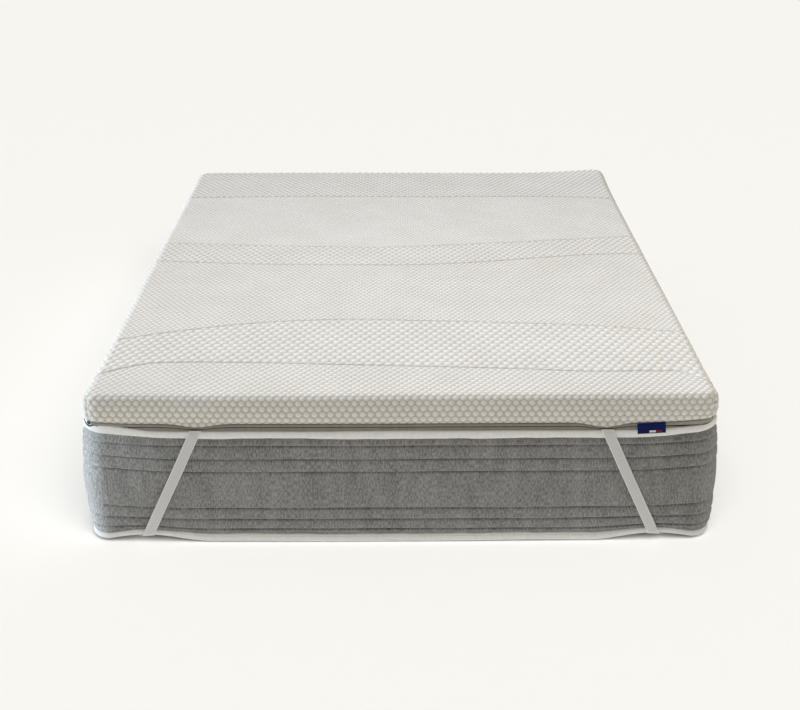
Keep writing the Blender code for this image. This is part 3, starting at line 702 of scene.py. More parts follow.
class CoverGrid:
    """The whole cover as one grid: the top, and the panels that fold down its four sides."""

    def __init__(self, settings):
        self.settings = settings
        self.lay_top()
        self.lay_sides()
        self.raise_cloth()

    def lay_top(self):
        """Rows of the top, spread between the grooves, and the zone of each."""
        columns = top_columns()
        ends = [np.full_like(columns, -INNER_Y)]
        ends += [course(columns, table) - PAD_HALF_Y for table in GROOVES]
        ends += [np.full_like(columns, INNER_Y)]
        rows, owners = [], []
        for index, zone in enumerate(ZONES):
            start, deep = ends[index], ends[index + 1] - ends[index]
            shares = zone_shares(float(np.mean(deep)), zone.spacing, index == 0, index == len(ZONES) - 1)
            shares = shares[min(index, 1):]
            rows += [start + share * deep for share in shares]
            owners += [index] * len(shares)
        self.row_zone = np.array(owners)
        y = np.array(rows)
        self.top = np.stack(corner_mapped(np.broadcast_to(columns, y.shape), y), -1)
        self.flat = self.top.reshape(-1, 2)

    def lay_sides(self):
        """The fold and the border below it, one column for each point of the top's edge."""
        rows, columns = self.top.shape[:2]
        index = np.arange(rows * columns).reshape(rows, columns)
        self.edge = np.concatenate([index[0, :-1], index[:-1, -1], index[-1, :0:-1], index[:0:-1, 0]])
        self.marks = np.cumsum([0, columns - 1, rows - 1, columns - 1, rows - 1])
        x, y = self.flat[self.edge].T
        away = np.stack([x - np.clip(x, -CORE_X, CORE_X), y - np.clip(y, -CORE_Y, CORE_Y)], 1)
        self.out = away / np.linalg.norm(away, axis=1, keepdims=True)
        out_x, out_y = self.out.T
        self.from_seam = PAD_CORNER * np.abs(np.arctan2(np.abs(out_y), np.abs(out_x)) - math.pi / 4)

        def plan(inset):
            """Places that lie so far inside the cover's outline."""
            return x + out_x * (FOLD - inset), y + out_y * (FOLD - inset)

        low = seam_height(*plan(0.0))
        profile, run = [], []
        for angle in np.linspace(math.pi / 2, 0, FOLD_ROWS + 1)[1:]:
            place = plan(EDGE_LEAD + EDGE_ROUND * (1 - math.cos(angle)))
            profile.append((*place, pad_top(*place) - EDGE_ROUND * (1 - math.sin(angle))))
            run.append(np.full_like(x, EDGE_ROUND * (math.pi / 2 - angle)))
        fold_end = profile[-1][2]
        border = [(course(share, BORDER_INSET), low + share * (fold_end - low))
                  for share in np.linspace(1, BORDER_FOOT, BORDER_ROWS + 1)[1:]]
        border += [(inset, low + rise) for inset, rise in WELT]
        for inset, height in border:
            profile.append((*plan(inset), height))
            run.append(FOLD_LENGTH + fold_end - height)
        self.side = np.array(profile).transpose(0, 2, 1)
        self.run = np.array(run)

    def panel(self, number):
        """Columns of one of the four side panels, with the first of the next one, and their edge places."""
        columns = np.arange(self.marks[number], self.marks[number + 1] + 1)
        return columns, np.mod(columns, len(self.edge))

    def side_zones(self, number, columns):
        """The zone that each of a panel's columns belongs to."""
        if number in (0, 2):
            return np.full(len(columns), 0 if number == 0 else len(ZONES) - 1)
        rows = columns - self.marks[1] if number == 1 else self.marks[4] - columns
        return self.row_zone[np.clip(rows, 0, len(self.row_zone) - 1)]

    def side_flat(self, number):
        """Flat places on the cloth of a panel's columns, unrolled down the panel."""
        place = self.panel(number)[1]
        run = self.run[:, place]
        run = np.minimum(run, FOLD_LENGTH) + np.maximum(run - FOLD_LENGTH, 0) * BORDER_STRETCH
        eased = np.minimum(run / FOLD_LENGTH, 1.0)
        along, out = (0, 1) if number in (0, 2) else (1, 0)
        here, away = self.flat[self.edge[place]].T, self.out[place].T
        core, inner = ((CORE_X, INNER_Y), (CORE_Y, INNER_X))[along]
        turn = np.arctan2(np.abs(away[along]), np.abs(away[out]))
        far = np.where(turn > 0, np.sign(here[along]) * (core + PAD_CORNER * turn), here[along])
        side = np.sign(away[out])
        result = [None, None]
        result[along] = here[along] + (far - here[along]) * eased
        result[out] = here[out] + (side * inner - here[out]) * eased + side * (run + BORDER_CATCH * eased)
        return result

    def raise_cloth(self):
        """Raise bubbles, sink grooves, pinch the corner seams, and keep the normals of it all."""
        rows, columns = self.top.shape[:2]
        size, count = len(self.flat), len(self.edge)
        x, y = self.flat.T
        points = np.concatenate([np.stack([x, y, pad_top(x, y)], 1), self.side.reshape(-1, 3)])
        self.ids = np.concatenate([self.edge[None], size + np.arange(self.run.size).reshape(-1, count)])
        self.top_faces = grid_faces(rows, columns)[:, ::-1]
        side_faces = self.ids.ravel()[grid_faces(len(self.ids), count, False, True)]
        faces = np.concatenate([self.top_faces, side_faces])
        self.lines = np.tile([GROOVE_REACH, GROOVE_REACH, 0.0], (len(points), 1))
        self.lines[:size, 0], self.lines[:size, 1] = groove_apart(x, y), crease_apart(x, y)
        self.lines[size:, 2] = self.run.ravel()
        line, crease = self.line(self.lines[:size, 0]), self.line(self.lines[:size, 1])
        lift = zoned_bubbles(np.repeat(self.row_zone, columns), x, y)
        rise = np.zeros(len(points))
        rise[:size] = (self.settings.rise * lift * (1 - line)
                       - self.settings.groove_depth * (line + 0.5 * crease))
        for number in range(4):
            columns, place = self.panel(number)
            ids = self.ids[1:, place].ravel()
            x, y = self.side_flat(number)
            apart = np.full_like(x, GROOVE_REACH)
            if number in (1, 3):
                apart = groove_apart(np.clip(x, -GROOVE_SPAN, GROOVE_SPAN), y)
                self.lines[ids, 0] = apart.ravel()
            line = self.line(apart)
            lift = zoned_bubbles(self.side_zones(number, columns), x, y, BORDER_WIDE)
            lift = self.settings.rise * BORDER_RISES[number] * lift * (1 - line)
            lift = (lift - self.settings.groove_depth * line) * self.foot_fade(place)
            rise[ids] = (lift + self.corner_seam(place)).ravel()
        normals = point_normals(points, faces)
        near_foot = portion(-points[:, 1:2], 0.78, 0.92)
        drawn_in = 0.0010 + (0.0020 - 0.0034 * near_foot) * np.abs(normals[:, :1])
        self.points = moved(points + normals * (rise[:, None] - drawn_in))
        self.normals = point_normals(self.points, faces)

    def line(self, apart):
        """Profile of a groove, from one in its middle to nothing beside it."""
        return bell(apart, self.settings.groove_width)

    def foot_fade(self, place):
        """Fades the bubbles out just above the lower seam and beside the corner seams."""
        fade = np.ones((len(self.run), len(place)))
        fade[-len(WELT):] = 0.0
        fade[-len(WELT) - 1] = 0.35
        return fade * (1 - bell(self.from_seam[place], 0.0045))

    def corner_seam(self, place):
        """The pinch and small puckers of an upright corner seam."""
        run, apart = self.run[:, place], self.from_seam[place]
        puckers = SEAM_PUCKER * bell(apart, 0.013) * np.sin(2 * math.pi * run / PUCKER_PITCH)
        puckers = puckers * (apart > 0.001)
        fade = np.ones_like(run)
        fade[-len(WELT):] = 0.25
        return (puckers - SEAM_PINCH * bell(apart, 0.0032)) * portion(run, 0.010, 0.030) * fade

    def piece(self, index):
        """Points, faces, flat places, distances to the lines, and normals of one zone."""
        owned = np.repeat(self.row_zone[1:], self.top.shape[1] - 1) == index
        faces, flat = [self.top_faces[owned]], [self.flat[self.top_faces[owned]]]
        for number in range(4):
            columns, place = self.panel(number)
            zones = self.side_zones(number, columns[:-1] + (1 if number == 1 else 0))
            picked = np.nonzero(zones == index)[0]
            ids = self.ids[:, place]
            places = np.concatenate([self.flat[ids[:1]], np.stack(self.side_flat(number), -1)])
            quad = [(slice(down, len(ids) - 1 + down), picked + beside)
                    for down, beside in ((0, 0), (1, 0), (1, 1), (0, 1))]
            faces.append(np.stack([ids[corner] for corner in quad], 2).reshape(-1, 4))
            flat.append(np.stack([places[corner] for corner in quad], 2).reshape(-1, 4, 2))
        faces, flat = np.concatenate(faces), np.concatenate(flat)
        used, local = np.unique(faces, return_inverse=True)
        return self.points[used], local.reshape(faces.shape), flat, self.lines[faces], self.normals[used]


def make_cover(settings):
    """The six zones of the knitted cover."""
    grid = CoverGrid(settings)
    material = knit_material(settings)
    for index, zone in enumerate(ZONES):
        points, faces, flat, lines, normals = grid.piece(index)
        # Each zone's strength of painted shade between the bubbles goes into the border map
        contrast = np.full(lines.shape[:2], zone.contrast)
        maps = {"cloth": flat, "lines": lines[..., :2], "border": np.stack([lines[..., 2], contrast], -1),
                "cells": (flat - (zone.across, zone.along)) / (zone.pitch, zone.repeat)}
        piece = add_piece("cover_" + zone.name, points, faces, material, maps, normals)
        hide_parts("topper_pad")


def make_underside():
    """The cover's plain bottom panel."""
    places, normals, run = outline(PAD_HALF_X, PAD_HALF_Y, PAD_CORNER, 0.03, 8)
    profile = ((0.0082, 0.0014), (0.0076, 0.0008), (0.0082, 0.0003))
    points = np.array([ring_row(places - normals * inset, PAD_BASE + rise) for inset, rise in profile])
    points[..., 1] += PAD_SHIFT
    material = woven_material("plain_lining", (0.66, 0.65, 0.62), 0.0012, 0.0002)
    piece = add_ring("cover_underside", bowed(softened(points)), run, (0.0, 0.0007, 0.0014), material,
                     capped=True)
    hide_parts("topper_pad")


# ---- the zip --------------------------------------------------------------------------------------

SLIDER_TURN = math.radians(222)
SLIDER_HEIGHT = 0.2942
SLIDER = ((-0.0050, 0.0020, 0.0012), (-0.0038, 0.0032, 0.0019), (0.0030, 0.0032, 0.0019),
          (0.0050, 0.0024, 0.0012))
COIL_INSET = 0.0071
UPPER_TAPE = ((0.0068, 0.0), (0.0059, 0.02), (0.0052, 0.10), (0.0048, 0.35), (0.0047, 0.70), (0.0050, 1.0),
              (0.0058, 1.0), (0.0056, 0.5), (0.0062, 0.15))
LOWER_TAPE = ((0.0064, 0.0), (0.0054, 0.04), (0.0047, 0.25), (0.0046, 0.60), (0.0050, 0.90), (0.0058, 0.99),
              (0.0068, 1.0), (0.0062, 0.85), (0.0056, 0.5))


def slit_height(x, y):
    """The zip's lower and upper edges, its slit's middle, and half the slit's opening."""
    low, high = PAD_BASE + 0.0003, seam_height(x, y) - 0.0003
    front = (y < 0) & (np.abs(y) > PAD_HALF_Y - PAD_CORNER - 0.001)
    # The slit opens wider near the front corners, so more near-black coil shows there as painted shadow in
    # the gap
    shadow_wedge = np.where(front, bell(np.abs(x) - 0.630, 0.040), 0.10)
    corner = corner_share(x, y)
    low = low + 0.0045 * corner * np.where(x > 0, 0.35, 1.0)
    middle = low + (high - low) * (0.60 - 0.45 * corner)
    return low, high, middle, 0.00045 + 0.0016 * shadow_wedge


def zip_row(plan, height, level, low, high):
    """One row round the zip, softened at the corners as the mattress is, less so at a level near the seam."""
    row = ring_row(plan, height)
    row[:, 1] += PAD_SHIFT
    return softened(row, portion(high - level, 0.0, high - low))


def make_zip(settings):
    """Both tapes of the zip and the coil that shows in the slit between them."""
    places, normals, run = outline(PAD_HALF_X, PAD_HALF_Y, PAD_CORNER, 0.006, 12)
    low, high, middle, half = slit_height(*places.T)
    wander = 0.0004 * np.sin(run[:-1] * 31) * np.sin(run[:-1] * 7.3)

    def tape(name, base, bottom, top, profile):
        """One tape, from its bottom to its top."""
        rows = []
        for inset, share in profile:
            height = bottom + (top - bottom) * share
            rows.append(zip_row(places - normals * (inset + wander)[:, None], height, height, low, high))
        heights = [share * 0.008 for _, share in profile]
        material = woven_material(name, base, 0.0011, 0.0002)
        piece = add_ring(name, bowed(np.array(rows)), run, heights, material)
        return piece

    upper = tape("zip_tape_upper", settings.zip_upper, middle + half, high + 0.0006, UPPER_TAPE)
    tape("zip_tape_lower", settings.zip_lower, low, middle - half, LOWER_TAPE)
    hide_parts("zip_band")
    make_coil(settings)


def make_coil(settings):
    """The coil's teeth, as one zigzag bead in the slit. Its near-black also paints the shadow in the gap
    between the tapes.
    """
    places, normals, run = outline(PAD_HALF_X, PAD_HALF_Y, PAD_CORNER, 0.0022, 30)
    low, high, middle, _ = slit_height(*places.T)
    tooth = np.where(np.arange(len(places)) % 2 == 0, 0.0005, -0.0005)
    rows = []
    for out, rise in ((0.0, -0.0010), (-0.0008, 0.0), (0.0, 0.0010), (0.0006, 0.0)):
        plan = places - normals * (COIL_INSET - out)
        rows.append(zip_row(plan, middle + rise + tooth, middle, low, high))
    material = plain_material("zip_coil", settings.coil, 0.5)
    add_ring("zip_coil", bowed(np.array(rows)), run, (0.0, 0.001, 0.002, 0.003), material)


def rounded_bar(name, stations, material, steps=10):
    """A solid lofted through stations of centre, half width vector and half height vector."""
    angles = 2 * np.pi * np.arange(steps) / steps
    c, s = np.cos(angles), np.sin(angles)
    fit = (np.abs(c) ** 4 + np.abs(s) ** 4) ** -0.25
    points = np.array([centre + np.outer(c * fit, wide) + np.outer(s * fit, tall)
                       for centre, wide, tall in stations])
    faces = grid_faces(len(stations), steps, False, True)[:, ::-1]
    last = len(stations) * steps - 1
    caps = (range(steps), range(last, last - steps, -1))
    return add_piece(name, points, faces, material, caps=caps)


def make_zip_pull(settings):
    """The slider at the front left corner, with a curved pull that hangs along the zip."""
    material = plain_material("zip_enamel", settings.coil, 0.35)
    reach = PAD_CORNER - 0.0030

    def station(along, out, height, deep, tall):
        """A station of a bar round the corner: its centre, half depth and half height."""
        angle = SLIDER_TURN + along / reach
        away = np.array([math.cos(angle), math.sin(angle), 0.0])
        centre = away * (reach + out) - (PAD_HALF_X - PAD_CORNER, PAD_HALF_Y - PAD_CORNER, -height)
        return moved(centre), away * deep, np.array([0.0, 0.0, tall])

    body = rounded_bar("zip_slider", [station(along, 0.0, SLIDER_HEIGHT, deep, tall)
                                      for along, tall, deep in SLIDER], material)
    pull = []
    for share in np.linspace(0, 1, 17):
        bulge = math.sin(math.pi * share)
        drop = 0.0062 * abs(bulge) ** 0.8 - 0.0042 * (1 - share) ** 2 - 0.0008
        pull.append(station(-0.0110 + 0.0310 * share, 0.0046, SLIDER_HEIGHT + 0.0015 - drop, 0.0008,
                            0.0009 + 0.0013 * bulge))
    rounded_bar("zip_tab", pull, material)
    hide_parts("zip_pull")


# ---- straps and label -----------------------------------------------------------------------------

STRAP_HALF_WIDTH = 0.0130
STRAP_TURN_IN = 0.0140
STRAP_RIBS = 6
LABEL_MIDDLE = 0.550
LABEL_TILT = 0.06
LABEL_HALF_WIDTH = 0.031
LABEL_COURSE = ((0.0003, 0.2947), (0.0012, 0.2928), (0.0024, 0.2880), (0.0034, 0.2820), (0.0042, 0.2765),
                (0.0045, 0.2712))


def smooth_line(rows, spacing):
    """A smooth run of points through rows of numbers, spaced evenly."""
    rows = np.array(rows, float)
    run = np.concatenate([[0.0], np.cumsum(np.linalg.norm(np.diff(rows[:, :3], axis=0), axis=1))])
    places = np.linspace(0, run[-1], max(2, round(run[-1] / spacing)) + 1)
    return np.stack([course(places, np.stack([run, column], 1)) for column in rows.T], 1), places


def make_band(name, line, run, across, half_width, half_thick, material, facing, shape):
    """A flat band along a line. shape gives thickness shares across its width, edge to edge."""
    across = across / np.linalg.norm(across, axis=1, keepdims=True)
    normal = np.cross(np.gradient(line, axis=0), across)
    normal = facing * normal / np.linalg.norm(normal, axis=1, keepdims=True)
    profile = [*shape, *((place, -thick) for place, thick in reversed(shape))]
    aside = np.array([half_width * place for place, _ in profile])
    raised = np.array([half_thick * thick for _, thick in profile])
    points = line + across * aside[..., None] + normal * raised[:, None, None]
    count, total = len(line), aside.size
    faces = grid_faces(len(profile), count, True, False)
    caps = (range(0, total, count), range(total - 1, -1, -count))
    if facing < 0:
        faces, caps = faces[:, ::-1], [cap[::-1] for cap in caps]
    places = np.stack([np.broadcast_to(run, aside.shape), aside], -1).reshape(-1, 2)
    return add_piece(name, points, faces, material, {"cloth": places[faces]}, caps=caps)


def bed_swell(height):
    """How far the mattress's border stands out at a height."""
    return BED_SWELL * np.sin(np.pi * np.asarray(height) / SWELL_HEIGHT)


def strap_rows(pad_out):
    """A leg's course across the mattress's edge: out from its face, and height, close to the solid's."""
    start = pad_out - 0.0045 + 0.0003
    if start < -0.0005:
        lead = [(start, 0.2787), ((start - 0.0005) / 2, 0.2787), (0.0005, 0.2785)]
    else:
        lead = [(0.0024, 0.2805)]
    face = [(0.0044 + float(bed_swell(z)), z) for z in np.linspace(0.2710, 0.0260, 7)[1:-1]]
    end = [(0.0058, 0.0285), (0.0050, 0.0215), (0.0014, 0.0172), (-0.0050, 0.0152), (-0.0140, 0.0146)]
    return lead + [(0.0044, 0.2764), (0.0054, 0.2710)] + face + end, len(end)


def strap_share(height):
    """How far down its slanting course a leg is at a height."""
    return portion(STRAP_TOP - np.asarray(height), 0.0, STRAP_TOP - STRAP_FOOT)


def strap_leg(sign_x, sign_y, on_end):
    """Rows of one leg from the seam down: centre, direction across and half width."""
    half, corner = (BED_HALF_Y, BED_HALF_X) if on_end else (BED_HALF_X, BED_HALF_Y)
    start = (PAD_HALF_X if on_end else PAD_HALF_Y) - STRAP_FROM_CORNER_TOP + STRAP_ASIDE
    end = corner - STRAP_FROM_CORNER_LOW
    if on_end:
        pad_out = PAD_HALF_Y + sign_y * PAD_SHIFT - BED_HALF_Y
    else:
        pad_out = PAD_HALF_X - BED_HALF_X
        start += sign_y * PAD_SHIFT
    rows, tail = strap_rows(pad_out)
    result = []
    for index, (out, height) in enumerate(rows):
        under = max(0.0, -out) if index > len(rows) - tail else 0.0
        share = under / STRAP_TURN_IN
        along = start + (end - start) * float(strap_share(height)) + under
        turn = math.radians(45) * share
        if on_end:
            centre = (sign_x * along, sign_y * (half + out), height)
            across = (sign_x * math.cos(turn), sign_y * math.sin(turn), 0.0)
        else:
            centre = (sign_x * (half + out), sign_y * along, height)
            across = (sign_x * math.sin(turn), sign_y * math.cos(turn), 0.0)
        result.append((*centre, *across, STRAP_HALF_WIDTH - 0.0015 * share))
    return result


def flip_across(last, rows):
    """Rows whose across direction carries on from the last row's."""
    result = []
    before = np.array(last[3:6])
    for row in rows:
        across = np.array(row[3:6])
        if np.dot(across, before) < 0:
            across = -across
        result.append((*row[:3], *across, row[6]))
        before = across
    return result


def make_straps(settings):
    """The four elastic straps, each down an end, under the corner and up a side."""
    material = elastic_material(settings)
    ribs = [((rib / STRAP_RIBS - 1) * 0.965, 0.75 if rib % 2 else 1.15) for rib in range(1, 2 * STRAP_RIBS)]
    shape = [(-1.0, 0.35), (-0.965, 1.0), *ribs, (0.965, 1.0), (1.0, 0.35)]
    for end, sign_y in (("front", -1), ("back", 1)):
        for side, sign_x in (("left", -1), ("right", 1)):
            down = strap_leg(sign_x, sign_y, True)
            rise = strap_leg(sign_x, sign_y, False)[::-1]
            first, last = np.array(down[-1]), np.array(rise[0])
            last[3:6] = first[3:6]
            under = [tuple(first + (last - first) * share) for share in (0.25, 0.5, 0.75)]
            line, run = smooth_line(down + under + flip_across(down[-1], rise), 0.006)
            points = bowed(softened(line[:, :3]))
            piece = make_band("strap_%s_%s_woven" % (end, side), points, run, line[:, 3:6], line[:, 6],
                              0.00065, material, -sign_x * sign_y, shape)
            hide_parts("strap_%s_%s" % (end, side))


def make_label(settings):
    """The bare woven label, sewn in the cover's seam."""
    rows = [(LABEL_MIDDLE + LABEL_TILT * (0.2830 - height), -BED_HALF_Y - out, height)
            for out, height in LABEL_COURSE]
    line, run = smooth_line(rows, 0.0012)
    across = np.tile([1.0, 0.0, LABEL_TILT], (len(line), 1))
    shape = []
    for place in np.linspace(-1, 1, 33):
        hem = 1.35 if abs(abs(place) - 0.92) < 0.03 else 1.0
        shape.append((place, 0.5 if abs(place) > 0.97 else hem))
    piece = make_band("label_woven", bowed(line), run, across, np.full(len(line), LABEL_HALF_WIDTH), 0.00045,
                      label_material(settings), -1, shape)
    layer = piece.data.uv_layers["cloth"]
    flat = np.zeros(len(layer.data) * 2, np.float32)
    layer.data.foreach_get("uv", flat)
    along, aside = flat.reshape(-1, 2).T
    layer.data.foreach_set("uv", np.stack([aside, run[-1] - along], 1).astype(np.float32).ravel())
    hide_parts("label")


# ---- the mattress ---------------------------------------------------------------------------------

def strap_dent(x, y):
    """How far the straps lift the mattress's underside."""
    line = BED_HALF_X + BED_HALF_Y - STRAP_FROM_CORNER_LOW
    apart = np.minimum(1.0, np.abs(np.abs(x) + np.abs(y) - line) / math.sqrt(2) / STRAP_DENT_REACH)
    return STRAP_DENT * np.cos(math.pi / 2 * apart) ** 2


def lifted(points):
    """Points of the mattress, raised by the dents below them."""
    result = np.array(points)
    fade = np.maximum(0.0, 1 - result[..., 2] / DENT_FADE_HEIGHT) ** 2
    result[..., 2] += strap_dent(result[..., 0], result[..., 1]) * fade
    return result


def strap_press(x, y, z):
    """Share of the border's fullness that is left beside and below the straps."""
    on_end = np.abs(y) > BED_HALF_Y - BED_CORNER
    start = np.where(on_end, PAD_HALF_X, PAD_HALF_Y + np.sign(y) * PAD_SHIFT) - STRAP_FROM_CORNER_TOP
    start = start + STRAP_ASIDE
    end = np.where(on_end, BED_HALF_X, BED_HALF_Y) - STRAP_FROM_CORNER_LOW
    apart = np.where(on_end, np.abs(x), np.abs(y)) - (start + (end - start) * strap_share(z))
    return 1 - 0.75 * bell(np.maximum(0.0, np.abs(apart) - 0.010), 0.014)


def border_heights():
    """Heights of the border's rows, close together at each channel."""
    heights = {TAPE_LOW_EDGES[1] - 0.004, TAPE_HIGH_EDGES[0] + 0.007}
    for channel in CHANNEL_HEIGHTS:
        for aside in (-0.0052, -0.0030, -0.0015, 0.0, 0.0015, 0.0030, 0.0052):
            heights.add(round(channel + aside, 5))
    heights = sorted(heights)
    result = [heights[0]]
    for start, end in zip(heights, heights[1:]):
        steps = max(1, math.ceil((end - start) / 0.0058))
        result += [start + (end - start) * step / steps for step in range(1, steps + 1)]
    return np.array(result)


def border_out(s, z, places, normals, settings):
    """How far the border stands out from the outline at runs s and heights z."""
    low, high = TAPE_LOW_EDGES[1], TAPE_HIGH_EDGES[0] + 0.0025
    bounds = (low, *CHANNEL_HEIGHTS, high)
    full, pucker, sunk = 0.0010, 0.0, 0.0
    for start, end in zip(bounds, bounds[1:]):
        puff = 0.0012 + 0.0010 * min(1.0, (end - start) / 0.06)
        full = full + puff * np.sin(np.pi * portion(z, start, end)) ** 0.8
    for number, channel in enumerate(CHANNEL_HEIGHTS):
        sunk = sunk + bell(z - channel, 0.0021) * (0.85 + 0.15 * np.sin(s * 23 + number))
        wave = np.sin(2 * math.pi * s / 0.0215 + 2.1 * np.sin(s * 9 + number) + number * 1.7)
        beside = bell(np.abs(z - channel) - 0.005, 0.006)
        pucker = pucker + beside * wave * (0.6 + 0.4 * np.sin(s * 13.1 + number * 2.3))
    waves = np.sin(s * 11.3 + 9 * z) * np.sin(s * 4.1 + 22 * z) * np.sin(np.pi * z / SWELL_HEIGHT)
    full = full + settings.pucker * pucker + 0.0010 * waves
    in_corner = np.abs(2 * normals[:, 0] * normals[:, 1])
    sunk = settings.channel_depth * sunk * (1 - 0.8 * in_corner)
    sunk = sunk + 0.0045 * (bell(z - low, 0.0045) + bell(z - high, 0.0045))
    return bed_swell(z) + full * strap_press(*places.T, z) - sunk


def make_mattress(settings):
    """The mattress: quilted border, plain top and underside, and its rows of stitches."""
    places, normals, run = outline(BED_HALF_X, BED_HALF_Y, BED_CORNER, 0.0076, 14)
    heights = border_heights()
    out = border_out(run[None, :-1], heights[:, None], places, normals, settings)
    border = [ring_row(places + normals * far[:, None], height) for far, height in zip(out, heights)]
    profile = [(inset, 0.0) for inset in (0.30, 0.22, 0.16, 0.12, 0.09, 0.06, 0.040, 0.022)]
    profile += [(0.0060, 0.0008), (0.0048, TAPE_LOW_EDGES[0])]
    under = [ring_row(places - normals * inset, height) for inset, height in profile]
    profile = ((0.0048, TAPE_HIGH_EDGES[1] - 0.002), (0.0060, BED_TOP - 0.0008), (0.012, BED_TOP),
               (0.10, BED_TOP))
    over = [ring_row(places - normals * inset, height) for inset, height in profile]
    points = bowed(softened(lifted(under + border + over)))[::-1]
    tall = [*np.linspace(-0.3, -0.01, len(under)), *heights, *np.linspace(0.28, 0.4, len(over))][::-1]
    material = heather_material(settings)
    piece = add_ring("mattress_body", points, run, tall, material, capped=True)
    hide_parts("mattress")
    make_stitches(settings)


def make_stitches(settings):
    """A row of sunk stitches along each channel, each of three stations of three points."""
    places, normals, _ = outline(BED_HALF_X, BED_HALF_Y, BED_CORNER, 0.0058, 16)
    straight = np.abs(normals[:, 0] * normals[:, 1]) <= 0.3
    ahead, out = np.roll(places, -1, 0) - places, normals + np.roll(normals, -1, 0)
    start, ahead, out = places[straight], ahead[straight], out[straight]
    out = out / np.linalg.norm(out, axis=1, keepdims=True)
    rows = []
    for channel in CHANNEL_HEIGHTS:
        deep = bed_swell(channel) - 0.0016
        for share, fat in ((0.08, 0.25), (0.50, 1.15), (0.92, 0.25)):
            for far, rise in ((0.0, 0.0005), (0.0005, 0.0), (0.0, -0.0005)):
                rows.append(ring_row(start + ahead * share + out * (deep + far * fat), channel + rise * fat))
    points = np.array(rows).reshape(len(CHANNEL_HEIGHTS), 9, -1, 3).transpose(0, 2, 1, 3).reshape(-1, 3)
    corner = 9 * np.arange(len(points) // 9)[:, None] + (0, 1, 3, 4)
    faces = (corner[..., None] + (0, 1, 4, 3)).reshape(-1, 4)
    material = plain_material("stitching", settings.thread, 0.8)
    add_piece("mattress_stitching", bowed(softened(lifted(points))), faces, material)


TAPE_STEPS = 12
TAPE_INSET = 0.0040
USUAL_TAPE_RISE = 0.0025


def make_tape(name, node, edges, material, upper):
    """One of the mattress's tapes: a soft rounded band, a little wavy along its edges."""
    places, normals, run = outline(BED_HALF_X, BED_HALF_Y, BED_CORNER, 0.0085, 12)
    low, high = edges
    s = run[:-1]
    sway = 0.0007 * np.sin(s * 8.3 + (2 if upper else 0)) + 0.0004 * np.sin(s * 21 + 1)
    flutter = 0.0006 * np.sin(s * 47) * np.sin(s * 5.1) + 0.0003 * np.sin(s * 90)
    corner, tuck = corner_share(*places.T), 0 * s
    if upper:
        corner = corner * np.where(places[:, 0] > 0, 0.2, 1.0)
        on_foot = portion(-places[:, 1], BED_HALF_Y - BED_CORNER, BED_HALF_Y)
        drawn = course(places[:, 0], TAPE_RISES) - USUAL_TAPE_RISE
        flutter = flutter + USUAL_TAPE_RISE + drawn * on_foot
    else:
        corner, tuck = tuck, corner ** 2 * (places[:, 1] < 0)
    rows, heights = [], []
    for share in np.linspace(0, 1, TAPE_STEPS + 1):
        angle = math.pi * share
        lean = (share - 0.5) * (0.0014 if upper else -0.0010)
        out = (0.0078 - 0.0022 * corner - 0.0030 * tuck) * abs(math.sin(angle)) ** 0.45 + lean - TAPE_INSET
        height = low + (high - low) * (0.5 - 0.5 * math.cos(angle)) + sway
        height = height + flutter * (1 - share if upper else share) + (0.0036 * share if upper else 0.0)
        height = height + corner * (0.0010 + 0.0080 * share) - 0.0060 * tuck * share
        rows.append(ring_row(places + normals * out[:, None], height))
        heights.append(share * 0.024)
    for share in (0.75, 0.25):
        rows.append(ring_row(places - normals * 0.0044, low + (high - low) * share + sway))
        heights.append(0.030 + share * 0.01)
    points = bowed(softened(lifted(rows)))
    piece = add_ring(name, points[::-1], run, heights[::-1], material)
    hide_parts(node)


# ---- stage ----------------------------------------------------------------------------------------

Light = namedtuple("Light", "name kind source target size colour receivers")

# Lights, each named as its strength is in the settings. A sun's size is in degrees, a lamp's in metres.
LIGHTS = (
    Light("overhead", "SUN", (-0.35, 0.45, 1.0), (0, 0, 0), 50, (1.0, 0.99, 0.97), "pieces"),
    Light("window", "SUN", (-1.0, 0.12, 0.22), (0, 0, 0), 22, (0.64, 0.80, 1.0), "pieces"),
    Light("lamp", "AREA", (-0.1, -0.55, 1.8), (-0.1, -0.55, 0.0), 1.2, (1.0, 0.97, 0.92), "pieces"),
    Light("side_lamp", "AREA", (-2.0, -1.3, 0.35), (-0.6, -0.9, 0.2), 0.8, (0.70, 0.84, 1.0), "pieces"),
    Light("warm", "AREA", (1.5, -0.7, 1.1), (0.6, -0.6, 0.36), 1.0, (1.0, 0.90, 0.74), "pieces"),
    Light("window_low", "SUN", (-1.0, 0.0, 0.10), (0, 0, 0), 20, (0.80, 0.89, 1.0), "mattress_pieces"),
    Light("floor_light", "SUN", (0.15, -0.7, 1.0), (0, 0, 0), 60, (1.0, 0.99, 0.97), "ground"),
)
SKY_COLOUR = (1.0, 0.955, 0.88)
FLOOR_REACH = 60.0
CAMERA_PLACE = (-0.00515, -3.66416, 1.57236)
CAMERA_TURNS = ((-0.03519, "Z"), (90 - 22.38257, "X"), (0.03184, "Z"))


def add_light(light, strength, receivers):
    """A soft light that shines from its source to its target and lights only its receivers."""
    data = bpy.data.lights.new(light.name, light.kind)
    data.energy = strength
    data.color = light.colour
    lit = bpy.data.objects.new(light.name, data)
    if light.kind == "SUN":
        data.angle = math.radians(light.size)
    else:
        data.size = light.size
        lit.location = light.source
    lit.rotation_euler = (Vector(light.source) - Vector(light.target)).to_track_quat("Z", "Y").to_euler()
    bpy.context.scene.collection.objects.link(lit)
    lit.light_linking.receiver_collection = receivers


